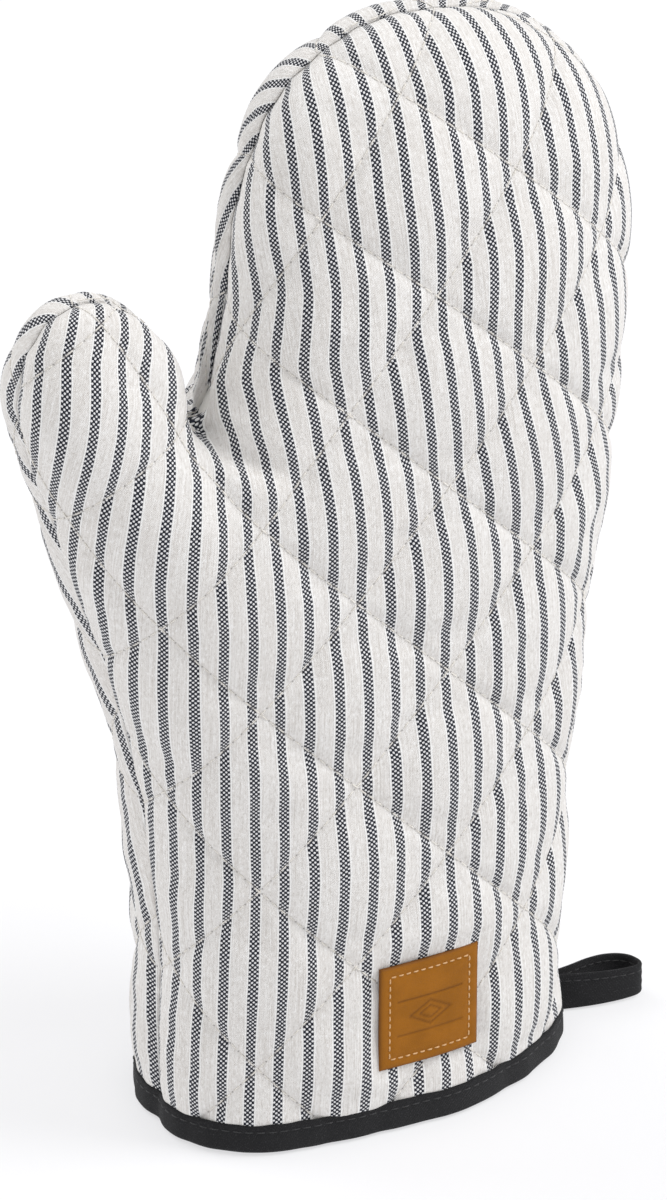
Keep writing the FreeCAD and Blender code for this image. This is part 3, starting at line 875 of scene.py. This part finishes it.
def thread(name, dark, light):
    """Twisted sewing thread."""
    n = Nodes(name)
    place = n.object_millimetres()
    twist = n.noise(place, 5.0, 2.0, 0.6)
    color = n.mix(n.ramp(twist, 0.35, 0.65), dark, light)
    n.bump(twist, 0.05)
    return n.finish(color, 0.7, Sheen_Weight=0.15)


def tan_leather():
    """Pressed tan leather: fine grain, a burnished darker rim, and the pressed lines a little darker."""
    n = Nodes("tan_leather")
    place = n.object_millimetres()
    grain = n.add("ShaderNodeTexVoronoi", feature="DISTANCE_TO_EDGE")
    n.link(place, grain.inputs["Vector"])
    grain.inputs["Scale"].default_value = 1.9
    pores = n.ramp(grain.outputs["Distance"], 0.0, 0.12)
    cloud = n.noise(place, 0.12, 3.0, 0.6)
    fine = n.noise(place, 4.0, 3.0, 0.7)
    color = n.mix(n.ramp(cloud, 0.3, 0.7), (0.28, 0.100, 0.002), (0.335, 0.120, 0.004))
    color = n.mix(n.times(n.ramp(fine, 0.55, 0.75), 0.35), color, (0.26, 0.085, 0.007))
    worn = n.add("ShaderNodeAttribute", attribute_name="pressed")
    color = n.mix(n.times(worn.outputs["Fac"], 0.75), color, (0.13, 0.045, 0.008))
    n.bump(n.plus(pores, n.times(fine, 0.5)), 0.035)
    return n.finish(color, 0.6, Specular_IOR_Level=0.2)


# ------------------------------------------------------------------ panels, batting and lining
CLOTH_THICKNESS = 0.5
BATTING_OUTSIDE = 1.1            # depths below the form's surface
BATTING_INSIDE = 4.9
LINING_DEPTH = 5.3
LINING_PUFF = 1.2
INNER_CELLS = 8                  # mesh cells from one stitch line to the next, in batting and lining
LINE_WIDTH = 0.3                 # cloth points nearer than this to a stitch line lie on it
NAMES = {FRONT: "front", BACK: "back"}


def belongs(piece, node):
    """The piece takes a CAD node's place on the mitt's body, in one material."""
    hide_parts(node)
    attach(piece, "mitt_body")


def with_thickness(piece, thickness):
    """Give a sheet its thickness, on its inner side."""
    solid = piece.modifiers.new("Thickness", "SOLIDIFY")
    solid.thickness = thickness * MM
    solid.offset = -1
    solid.use_even_offset = False
    return apply_modifiers(piece)


class Laid:
    """A finished cloth piece's surface, found again from its flat cloth coordinates."""

    def __init__(self, cloth, places, faces):
        self.cloth = cloth
        self.places = places
        self.faces = faces
        self.tree = BVHTree.FromPolygons([(s, t, 0) for s, t in cloth], faces)

    def at(self, s, t):
        """The place and outward direction over one cloth point, and how far the point lies off the cloth."""
        spot, _, face, distance = self.tree.find_nearest((s, t, 0))
        corners = self.faces[face]
        weights = corner_weights(self.cloth[corners], (spot.x, spot.y))
        a, b, c = self.places[corners]
        normal = np.cross(b - a, c - a)
        return weights @ self.places[corners], normal / np.linalg.norm(normal), distance


def outer_panel(side):
    """The striped outer cloth of one side, quilted and puffed, and its laid-out surface."""
    node = NAMES[side.side] + "_outer_panel"
    cloth, faces, rim = cloth_mesh(side, CELLS)
    places, normals = side.at(cloth)
    distance, _ = side.edge(cloth)
    first, second = quilt_distances(cloth)
    lift = puffed(cloth, distance, PUFF)
    lift *= 1 - 0.55 * under_patch(places, side)
    lift *= np.clip((places[:, 2] - PANEL_BOTTOM) / 9.0, 0.15, 1)
    places = drawn_in(side, places, normals, cloth) + normals * lift[:, None]
    piece = piece_from(NAMES[side.side] + "_striped_cloth", places, faces, cloth, striped_cotton_material)
    mark = piece.data.attributes.new("stripe", "FLOAT", "POINT")
    mark.data.foreach_set("value", stripe_places(cloth, places).astype(np.float32))
    merge_into_quads(piece, (0, side.side, 0))
    on_line = (np.minimum(first, second) < LINE_WIDTH) | (np.arange(len(cloth)) < rim)
    settle_as_cloth(piece, np.nonzero(on_line)[0])
    settled = vertex_places(piece) / MM
    sharpen_lines(piece, (first, second))
    soft = piece.modifiers.new("Subdivision", "SUBSURF")
    soft.levels = soft.render_levels = 1
    soft.boundary_smooth = "PRESERVE_CORNERS"
    apply_modifiers(piece)
    with_thickness(piece, CLOTH_THICKNESS)
    smooth_shade(piece)
    belongs(piece, node)
    turned = faces if side.side == FRONT else faces[:, ::-1]
    return Laid(cloth, settled, turned)


def under_patch(places, side):
    """1 under the leather patch, 0 well away from it."""
    if side.side == BACK:
        return np.zeros(len(places))
    low, high = (np.array(c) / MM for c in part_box("leather_patch"))
    outside = np.maximum(np.maximum(low - places, places - high), 0)[:, [0, 2]]
    return np.exp(-(np.linalg.norm(outside, axis=1) / 4.0) ** 2)


def lining(side):
    """The plain cloth inside, which follows the quilting the other way."""
    name = NAMES[side.side] + "_lining"
    cloth, faces, rim = cloth_mesh(side, INNER_CELLS)
    places, normals = side.at(cloth, LINING_DEPTH)
    distance, _ = side.edge(cloth)
    places = drawn_in(side, places, normals, cloth)
    places = places - normals * puffed(cloth, distance, LINING_PUFF)[:, None]
    piece = piece_from(name + "_cloth", places, faces, cloth, lining_cotton_material)
    merge_into_quads(piece, (0, side.side, 0))
    with_thickness(piece, CLOTH_THICKNESS)
    smooth_shade(piece)
    belongs(piece, name)


def batting(side):
    """The padding between outer cloth and lining: thick between the stitch lines, thin along them."""
    name = NAMES[side.side] + "_batting"
    cloth, faces, rim = cloth_mesh(side, INNER_CELLS)
    places, normals = side.at(cloth)
    distance, _ = side.edge(cloth)
    places = drawn_in(side, places, normals, cloth)
    swell = puffed(cloth, distance, 1.0)
    thin = 0.25 + 0.75 * np.clip(distance / 6.0, 0, 1)
    outside = places - normals * ((BATTING_OUTSIDE - swell * PUFF * 0.6) * thin)[:, None]
    depth = BATTING_OUTSIDE + (BATTING_INSIDE - BATTING_OUTSIDE + 0.8 * swell) * thin
    inside = places - normals * depth[:, None]
    count = len(cloth)
    back = faces[:, ::-1] + count
    border = [(i, (i + 1) % rim, (i + 1) % rim + count, i + count) for i in range(rim)]
    faces = [*faces.tolist(), *back.tolist(), *border]
    piece = piece_from(name + "_pad", np.vstack([outside, inside]), faces, np.vstack([cloth, cloth]),
                       batting_material)
    merge_into_quads(piece)
    smooth_shade(piece)
    belongs(piece, name)


# ------------------------------------------------------------------ cuff binding
BINDING_HEIGHT = 9.3
BINDING_LOW = 0.35
BINDING_CLOTH = 0.6
BINDING_OUT = 1.2                # how far the tape's two legs stand off the quilted edge
BINDING_IN = 6.9


def cuff_line(laid_sides, level):
    """The closed line round the cuff at a height, through the finished outer cloth."""
    found = []
    for side, laid in laid_sides:
        rim = laid.cloth[:, 0]
        low, high = rim[laid.places[:, 2] < level + 6].min(), rim[laid.places[:, 2] < level + 6].max()
        columns = np.linspace(low + 0.05, high - 0.05, 120)
        points = np.array([laid.at(s, level)[0] for s in columns])
        found.append(points if side.side == FRONT else points[::-1])
    return np.vstack(found)[:, :2]


def closed_spaced(line, count):
    """A closed flat line with its points evenly spaced."""
    loop = np.vstack([line, line[:1]])
    along = np.r_[0, np.cumsum(np.linalg.norm(np.diff(loop, axis=0), axis=1))]
    places = np.linspace(0, along[-1], count, endpoint=False)
    return np.c_[np.interp(places, along, loop[:, 0]), np.interp(places, along, loop[:, 1])]


def smoothed(loop, rounds):
    """The closed loop again, evened out."""
    for _ in range(rounds):
        loop = (np.roll(loop, 1, axis=0) + 2 * loop + np.roll(loop, -1, axis=0)) / 4
    return loop


def tape_section():
    """The folded tape's section as (distance out from the cuff line, height): outer leg, fold, inner leg."""
    legs = []
    middle = (BINDING_OUT - BINDING_IN) / 2
    half = (BINDING_OUT + BINDING_IN) / 2
    for z in np.linspace(BINDING_HEIGHT, 2.2, 8):
        legs.append((BINDING_OUT - 0.35 * (z / BINDING_HEIGHT) ** 3, z))
    for angle in np.linspace(0, math.pi, 13)[1:-1]:
        legs.append((middle + half * math.copysign(abs(math.cos(angle)) ** 0.5, math.cos(angle)),
                     BINDING_LOW + 1.9 * (1 - abs(math.sin(angle)) ** 0.8)))
    for z in np.linspace(2.2, BINDING_HEIGHT - 0.6, 7):
        legs.append((-BINDING_IN, z))
    return np.array(legs)


def cuff_binding(laid_sides):
    """Black tape folded over the cuff's edge, following its outline and the notches at the seams."""
    count = 360
    line = smoothed(closed_spaced(cuff_line(laid_sides, 5.0), count), 3)
    outward = rightward(np.vstack([line[-1:], line, line[:1]]))[1:-1]
    centre = line.mean(0)
    if ((line - centre) * outward).sum() < 0:
        outward = -outward
    inner_line = smoothed(line, 60)
    inner_out = smoothed(outward, 60)
    section = tape_section()
    places = []
    for out, z in section:
        share = np.clip((BINDING_OUT - out) / (BINDING_OUT + BINDING_IN), 0, 1)
        ring = (line + outward * out) * (1 - share) + (inner_line + inner_out * out) * share
        ring = smoothed(ring, 2)
        around = np.arange(count)
        wave = 0.12 * np.sin(around * 2 * math.pi * 37 / count) + 0.1 * np.sin(around * 0.31)
        edge = 1.0 if z > 8 else 0.0
        places.append(np.c_[ring, np.full(count, z) + wave * edge])
    places = np.vstack(places)
    along = np.arange(count) * np.linalg.norm(np.roll(line, -1, axis=0) - line, axis=1).mean()
    down = np.r_[0, np.cumsum(np.linalg.norm(np.diff(section, axis=0), axis=1))]
    cloth = np.array([(a, d) for d in down for a in along])
    faces = []
    for row in range(len(section) - 1):
        for k in range(count):
            j = (k + 1) % count
            faces.append((row * count + k, row * count + j, (row + 1) * count + j, (row + 1) * count + k))
    piece = piece_from("cuff_binding_tape", places, faces, cloth, black_tape_material)
    merge_into_quads(piece)
    with_thickness(piece, BINDING_CLOTH)
    smooth_shade(piece)
    belongs(piece, "cuff_binding")
    return line, outward


# ------------------------------------------------------------------ stitches
def stitch_rings(start, end, normal, radius, arch):
    """One stitch: a small thread tube that rises over the cloth and dips in at both ends."""
    heading = end - start
    across = np.cross(heading, normal)
    across /= np.linalg.norm(across)
    rings = []
    for share in np.linspace(0, 1, 6):
        rise = arch * math.sin(math.pi * share) ** 0.6 - radius * 0.6
        middle = start + heading * share + normal * rise
        size = radius * (0.45 + 0.55 * math.sin(math.pi * share) ** 0.4)
        for angle in np.arange(6) * math.pi / 3:
            rings.append(middle + size * (math.cos(angle) * across + math.sin(angle) * normal))
    return rings


def stitches(name, runs, radius, arch, material, node, body="mitt_body"):
    """One piece holding many separate stitches. runs is a list of (start, end, outward direction)."""
    points = []
    faces = []
    for start, end, normal in runs:
        base = len(points)
        points += stitch_rings(np.asarray(start), np.asarray(end), np.asarray(normal), radius, arch)
        for ring in range(5):
            for k in range(6):
                a = base + ring * 6 + k
                b = base + ring * 6 + (k + 1) % 6
                faces.append((a, b, b + 6, a + 6))
        faces.append(tuple(base + k for k in range(6)))
        faces.append(tuple(base + 30 + k for k in reversed(range(6))))
    piece = piece_from(name + "_dashes", points, faces, None, material)
    outward_faces(piece)
    smooth_shade(piece)
    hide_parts(node)
    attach(piece, body)
    return piece


def outward_faces(piece):
    """Turn all faces outward."""
    work = bmesh.new()
    work.from_mesh(piece.data)
    bmesh.ops.recalc_face_normals(work, faces=work.faces)
    work.to_mesh(piece.data)
    work.free()


def quilting_thread(side, laid):
    """Thread dashes along every stitch line of the quilting."""
    runs = []
    reach = 400
    patch_low, patch_high = (np.array(c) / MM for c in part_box("leather_patch"))
    for phase, sign in zip(QUILT_PHASE, (1, -1)):
        for line in range(-12, 13):
            across = phase + line * QUILT_PITCH
            for dash in range(int(-reach / STITCH_PITCH), int(reach / STITCH_PITCH)):
                middle = dash * STITCH_PITCH + STITCH_PITCH / 2
                ends = []
                for run in (middle - STITCH_LENGTH / 2, middle + STITCH_LENGTH / 2):
                    s = (across + run) / math.sqrt(2)
                    t = sign * (across - run) / math.sqrt(2)
                    ends.append(laid.at(s, t))
                if max(e[2] for e in ends) > 0.01 or min(e[0][2] for e in ends) < BINDING_HEIGHT + 0.5:
                    continue
                place = (ends[0][0] + ends[1][0]) / 2
                covered = side.side == FRONT and (place[[0, 2]] > patch_low[[0, 2]] - 0.5).all() \
                    and (place[[0, 2]] < patch_high[[0, 2]] + 0.5).all()
                if not covered:
                    runs.append((ends[0][0], ends[1][0], ends[0][1] + ends[1][1]))
    runs = [(a, b, n / np.linalg.norm(n)) for a, b, n in runs]
    name = NAMES[side.side] + "_quilting_thread"
    return stitches(name, runs, 0.22, 0.34, light_thread_material, name)


def along_closed(line, pitch, length):
    """Start and end points of dashes along a closed flat line."""
    total = np.linalg.norm(np.roll(line, -1, axis=0) - line, axis=1)
    stations = np.r_[0, np.cumsum(total)]
    loop = np.vstack([line, line[:1]])
    found = []
    for start in np.arange(0, stations[-1] - pitch / 2, pitch):
        ends = [np.array([np.interp(p % stations[-1], stations, loop[:, k]) for k in range(2)])
                for p in (start, start + length)]
        found.append(ends)
    return found


def binding_stitching(line, outward):
    """Black thread just below the tape's upper edge, on the outside."""
    level = BINDING_HEIGHT - 2.0
    out = BINDING_OUT - 0.35 * (level / BINDING_HEIGHT) ** 3
    ring = smoothed(line + outward * out, 2)
    runs = []
    for a, b in along_closed(ring, 3.2, 2.5):
        heading = b - a
        normal = np.array([heading[1], -heading[0], 0]) / np.linalg.norm(heading)
        if normal[:2] @ (a - ring.mean(0)) < 0:
            normal = -normal
        runs.append((np.array([*a, level]), np.array([*b, level]), normal))
    name = "binding_stitching"
    return stitches(name, runs, 0.2, 0.22, black_thread_material, name)


def side_seam_stitching(form, laid):
    """Short threads down in the groove where the two sides are sewn together."""
    front, back = laid[FRONT], laid[BACK]
    line = spaced(form.flat[:form.rim][form.seam[:, 1] > BINDING_HEIGHT + 3], 3.4)
    runs = []
    for a, b in zip(line[:-1], line[1:]):
        middle = (a + b) / 2
        near = front.at(*middle)[0]
        far = back.at(*middle)[0]
        heading = (front.at(*b)[0] - front.at(*a)[0])
        heading /= np.linalg.norm(heading)
        cross = (far - near) / max(np.linalg.norm(far - near), 1e-6)
        outward = np.cross(heading, cross)
        outward /= np.linalg.norm(outward)
        centre = (near + far) / 2
        if outward[0] * (centre[0] - CUFF_CENTRE) + 0.2 * outward[2] < 0:
            outward = -outward
        sunk = centre - outward * SEAM_THREAD_DEPTH
        runs.append((sunk - heading * 1.2, sunk + heading * 1.2, outward))
    name = "side_seam_stitching"
    return stitches(name, runs, 0.2, 0.1, light_thread_material, name)


# ------------------------------------------------------------------ leather patch
PATCH_THICKNESS = 1.3
PATCH_CELLS = 62
PATCH_STITCH_INSET = 2.9


def patch_height(u, v, half_u, half_v):
    """Relief of the patch's face: a stitched-down rim and a pressed ornament of plain lines."""
    def line(distance, width):
        return np.exp(-(distance / width) ** 2)

    edge = np.minimum(half_u - np.abs(u), half_v - np.abs(v))
    rim = -0.25 * line(edge - PATCH_STITCH_INSET, 0.8)
    rounded = -0.45 * np.exp(-np.maximum(edge, 0) / 0.45)
    inner = (np.abs(u) < half_u - 5.2) & (np.abs(v) < half_v - 5.2)
    bars = line(np.abs(v - 4.6), 0.22) + line(np.abs(v + 6.2), 0.22)
    lozenge = np.abs(np.abs(u) / 6.2 + np.abs(v + 0.8) / 3.6 - 1) * 3.0
    small = np.abs(np.abs(u) / 3.2 + np.abs(v + 0.8) / 1.9 - 1) * 1.7
    ornament = np.where(inner, bars + line(lozenge, 0.30) + line(small, 0.28), 0)
    pressed = np.clip(ornament, 0, 1)
    return rim + rounded - 0.28 * pressed, pressed, edge


def leather_patch(side, laid):
    """The stitched leather patch near the cuff, gently bent round the palm."""
    low, high = (np.array(c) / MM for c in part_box("leather_patch"))
    centre = (low + high) / 2
    half_v = (high[2] - low[2]) / 2
    # the patch is as wide along the cloth as its solid is round its bend
    bend = (high - low)[:2]
    half_u = math.hypot(bend[0], bend[1] - 1.4) / 2
    # the cloth point that lies behind the solid's centre
    offsets = laid.places[:, [0, 2]] - centre[[0, 2]]
    anchor = np.argmin(np.hypot(offsets[:, 0], offsets[:, 1]))
    middle = laid.cloth[anchor] + centre[[0, 2]] - laid.places[anchor][[0, 2]]
    columns = np.linspace(-1, 1, PATCH_CELLS + 1)
    grid_u, grid_v = np.meshgrid(columns * half_u, columns * half_v)
    u, v = grid_u.ravel(), grid_v.ravel()
    cloth = np.c_[middle[0] + u, middle[1] + v]
    base, normals = side.at(cloth)
    height, pressed, edge = patch_height(u, v, half_u, half_v)
    back_height = 1.15
    face = base + normals * (back_height + PATCH_THICKNESS + height)[:, None]
    under = base + normals * back_height
    count = len(u)
    rows = PATCH_CELLS + 1
    faces = []
    for r in range(PATCH_CELLS):
        for c in range(PATCH_CELLS):
            a = r * rows + c
            faces.append((a, a + 1, a + rows + 1, a + rows))
            faces.append((a + count, a + rows + count, a + rows + 1 + count, a + 1 + count))
    border = [*range(rows), *(r * rows + PATCH_CELLS for r in range(1, rows)),
              *(PATCH_CELLS * rows + c for c in range(PATCH_CELLS - 1, -1, -1)),
              *(r * rows for r in range(PATCH_CELLS - 1, 0, -1))]
    for a, b in zip(border, [*border[1:], border[0]]):
        faces.append((a, a + count, b + count, b))
    piece = piece_from("stitched_leather_patch", np.vstack([face, under]), faces,
                       np.vstack([cloth, cloth]), leather_material)
    outward_faces(piece)
    mark = piece.data.attributes.new("pressed", "FLOAT", "POINT")
    worn = np.clip(pressed * 0.8 + 0.9 * np.exp(-np.maximum(edge, 0) / 0.35), 0, 1)
    mark.data.foreach_set("value", np.r_[worn, np.ones(count)].astype(np.float32))
    smooth_shade(piece)
    belongs(piece, "leather_patch")
    runs = []
    inset_u, inset_v = half_u - PATCH_STITCH_INSET, half_v - PATCH_STITCH_INSET
    corners = [(-inset_u, -inset_v), (inset_u, -inset_v), (inset_u, inset_v), (-inset_u, inset_v)]
    for (u1, v1), (u2, v2) in zip(corners, [*corners[1:], corners[0]]):
        length = math.hypot(u2 - u1, v2 - v1)
        count_here = round(length / 2.3)
        for k in range(count_here):
            ends = []
            for share in ((k + 0.14) / count_here, (k + 0.86) / count_here):
                here = np.array([[u1 + (u2 - u1) * share, v1 + (v2 - v1) * share]])
                spot, normal = side.at(here + middle)
                ends.append((spot[0] + normal[0] * (back_height + PATCH_THICKNESS - 0.25), normal[0]))
            runs.append((ends[0][0], ends[1][0], ends[0][1]))
    stitches("patch_stitching", runs, 0.24, 0.26, tan_thread_material, "patch_stitching")


# ------------------------------------------------------------------ hanging loop
LOOP_WIDTH = 11.0
LOOP_CLOTH = 1.1                 # thickness of the folded tape
LOOP_STITCH_DROP = 1.9           # from the tape's upper edge down to its stitches
# the tape's middle line seen from above, as places beside the joint's axis
LOOP_PLAN = [(-3.0, -1.0), (0.0, -1.3), (6.0, -3.0), (12.5, -4.4), (19.0, -5.0), (22.8, -4.6), (24.2, -3.4),
             (24.3, -1.6), (23.2, 1.2), (20.6, 3.2), (16.5, 4.2), (11.5, 3.8), (5.5, 2.3), (0.0, 1.2),
             (-3.0, 1.0)]
LOOP_NARROWING = 2.0             # the far end is twisted, and looks less wide
LOOP_RISE = 0.6


def hanging_loop():
    """The black tape loop sewn into the side seam: two runs that open into an eye at the far end."""
    joint = next(j for j in frame["joints"] if j["name"] == "hanging_loop_swing")
    axis = np.array(joint["pos_m"]) / MM
    bottom = axis[2]
    plan = smooth_line(LOOP_PLAN, 0.6)
    heading = np.gradient(plan, axis=0)
    heading /= np.linalg.norm(heading, axis=1)[:, None]
    across = np.c_[heading[:, 1], -heading[:, 0]]
    out = np.clip(plan[:, 0] / plan[:, 0].max(), 0, 1)
    lift = LOOP_RISE * out
    height = LOOP_WIDTH - LOOP_NARROWING * out
    rows = []
    for half in (-0.5, 0.5):
        for share in (0.0, 0.02, 0.06, 0.2, 0.35, 0.5, 0.65, 0.8, 0.94, 0.98, 1.0):
            ribbed = 1 + 0.12 * math.cos(6 * math.pi * share)
            thick = LOOP_CLOTH * min(1.0, 0.35 + math.sin(math.pi * share) * 6) * ribbed
            offset = across * half * thick
            z = bottom + height * share + lift
            rows.append(np.c_[axis[0] + plan[:, 0] + offset[:, 0], axis[1] + plan[:, 1] + offset[:, 1], z])
    half_rows = len(rows) // 2
    ordered = rows[:half_rows] + rows[half_rows:][::-1]
    count = len(plan)
    places = np.vstack(ordered)
    along = np.r_[0, np.cumsum(np.linalg.norm(np.diff(plan, axis=0), axis=1))]
    cloth = np.array([(a, z - bottom) for row in ordered for a, z in zip(along, row[:, 2])])
    faces = []
    total = len(ordered)
    for r in range(total):
        q = (r + 1) % total
        for k in range(count - 1):
            faces.append((r * count + k, q * count + k, q * count + k + 1, r * count + k + 1))
    faces.append(tuple(r * count for r in range(total)))
    faces.append(tuple(r * count + count - 1 for r in reversed(range(total))))
    piece = piece_from("hanging_loop_tape", places, faces, cloth, black_tape_material)
    outward_faces(piece)
    smooth_shade(piece)
    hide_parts("hanging_loop")
    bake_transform(piece)
    # stitches along the upper edge of both runs
    runs = []
    stations = np.arange(2.0, along[-1] - 2.0, 2.6)
    for start in stations:
        ends = []
        for place in (start, start + 2.0):
            p = [np.interp(place, along, plan[:, k]) for k in range(2)]
            n = np.array([np.interp(place, along, across[:, k]) for k in range(2)])
            z = bottom + np.interp(place, along, lift + height) - LOOP_STITCH_DROP
            ends.append((np.array([axis[0] + p[0], axis[1] + p[1], z]), np.array([n[0], n[1], 0])))
        for sign in (1, -1):
            normal = sign * (ends[0][1] + ends[1][1])
            normal /= np.linalg.norm(normal)
            shift = normal * (LOOP_CLOTH * 0.5)
            runs.append((ends[0][0] + shift, ends[1][0] + shift, normal))
    thread_piece = stitches("loop_stitching", runs, 0.17, 0.16, black_thread_material,
                            "loop_stitching", "loop_body")
    thread_piece.parent = None
    del thread_piece["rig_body"]
    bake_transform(thread_piece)


# ------------------------------------------------------------------ floor, light and camera
CAMERA_AZIMUTH = -27.8
CAMERA_ELEVATION = 29.2
CAMERA_DISTANCE = 6.0
PIXELS_PER_MM = 3.732            # scale at the mitt in a picture 1200 pixels high
PICTURE_HEIGHT = 1200
SENSOR = 36.0
AIM = (8.7, 0.0, 150.0)
AIM_SHIFT = (-1.89, -6.82)       # moves the aim along the picture's width and height, in mm
FLOOR_SIZE = 9.0                 # metres from the middle to an edge
FLOOR_GLOW = 1.92                # a lit studio table: its shadows stay pale
SKY_STRENGTH = 0.55
LAMP_AIM = (0, 0, 0.15)


def camera():
    """A long lens from the front left and above."""
    azimuth, elevation = math.radians(CAMERA_AZIMUTH), math.radians(CAMERA_ELEVATION)
    back = Vector((math.sin(azimuth) * math.cos(elevation), -math.cos(azimuth) * math.cos(elevation),
                   math.sin(elevation)))
    right = Vector((math.cos(azimuth), math.sin(azimuth), 0))
    up = back.cross(right)
    aim = (Vector(AIM) + right * AIM_SHIFT[0] + up * AIM_SHIFT[1]) * MM
    data = bpy.data.cameras.new("Camera")
    data.sensor_width = SENSOR
    data.lens = SENSOR * PIXELS_PER_MM * CAMERA_DISTANCE / MM / PICTURE_HEIGHT
    data.clip_end = 50
    eye = bpy.data.objects.new("Camera", data)
    bpy.context.scene.collection.objects.link(eye)
    turned = Matrix((right, up, back)).transposed().to_4x4()
    eye.matrix_world = Matrix.Translation(aim + back * CAMERA_DISTANCE) @ turned
    bpy.context.scene.camera = eye


def soft_light(name, place, size, power):
    """A large round lamp that points at the mitt's middle; metres and watts."""
    data = bpy.data.lights.new(name, "AREA")
    data.shape = "DISK"
    data.size = size
    data.energy = power
    lamp = bpy.data.objects.new(name, data)
    bpy.context.scene.collection.objects.link(lamp)
    direction = Vector(place) - Vector(LAMP_AIM)
    lamp.matrix_world = Matrix.Translation(place) @ direction.to_track_quat("Z", "Y").to_matrix().to_4x4()


def studio():
    """A pale floor, soft daylight all round and three large soft lights."""
    mesh = bpy.data.meshes.new("studio_floor")
    corners = [(FLOOR_SIZE * x, FLOOR_SIZE * y, 0) for x, y in ((-1, -1), (1, -1), (1, 1), (-1, 1))]
    mesh.from_pydata(corners, [], [(0, 1, 2, 3)])
    floor = bpy.data.objects.new("studio_floor", mesh)
    bpy.context.scene.collection.objects.link(floor)
    n = Nodes("studio_floor")
    place = n.object_millimetres()
    mottle = n.noise(place, 0.01, 2.0)
    color = n.mix(mottle, (0.31, 0.31, 0.315), (0.33, 0.33, 0.335))
    n.link(color, n.shader.inputs["Emission Color"])
    n.shader.inputs["Emission Strength"].default_value = FLOOR_GLOW
    mesh.materials.append(n.finish(color, 0.9))
    world = bpy.context.scene.world or bpy.data.worlds.new("World")
    bpy.context.scene.world = world
    world.use_nodes = True
    sky = world.node_tree.nodes["Background"]
    sky.inputs[0].default_value = (1.0, 1.0, 1.0, 1)
    sky.inputs[1].default_value = SKY_STRENGTH
    soft_light("key_light", (1.5, -0.9, 1.9), 1.4, 44)
    soft_light("fill_light", (-1.9, -0.9, 0.9), 1.8, 10)
    soft_light("back_light", (-0.9, 1.5, 1.7), 1.8, 20)
    bpy.context.scene.view_settings.view_transform = "Standard"


# ------------------------------------------------------------------ making everything
camera()
studio()
form = Form()
striped_cotton_material = striped_cotton()
lining_cotton_material = lining_cotton()
batting_material = batting_fleece()
black_tape_material = black_tape()
leather_material = tan_leather()
light_thread_material = thread("light_thread", (0.62, 0.58, 0.52), (0.86, 0.84, 0.80))
tan_thread_material = thread("tan_thread", (0.50, 0.27, 0.10), (0.74, 0.48, 0.25))
black_thread_material = thread("black_thread", (0.006, 0.006, 0.007), (0.035, 0.035, 0.038))

sides = {side: Side(form, side) for side in (FRONT, BACK)}
laid = {}
for side in (FRONT, BACK):
    laid[side] = outer_panel(sides[side])
    batting(sides[side])
    lining(sides[side])
    quilting_thread(sides[side], laid[side])
cuff, cuff_outward = cuff_binding([(sides[side], laid[side]) for side in (FRONT, BACK)])
binding_stitching(cuff, cuff_outward)
side_seam_stitching(form, laid)
leather_patch(sides[FRONT], laid[FRONT])
hanging_loop()
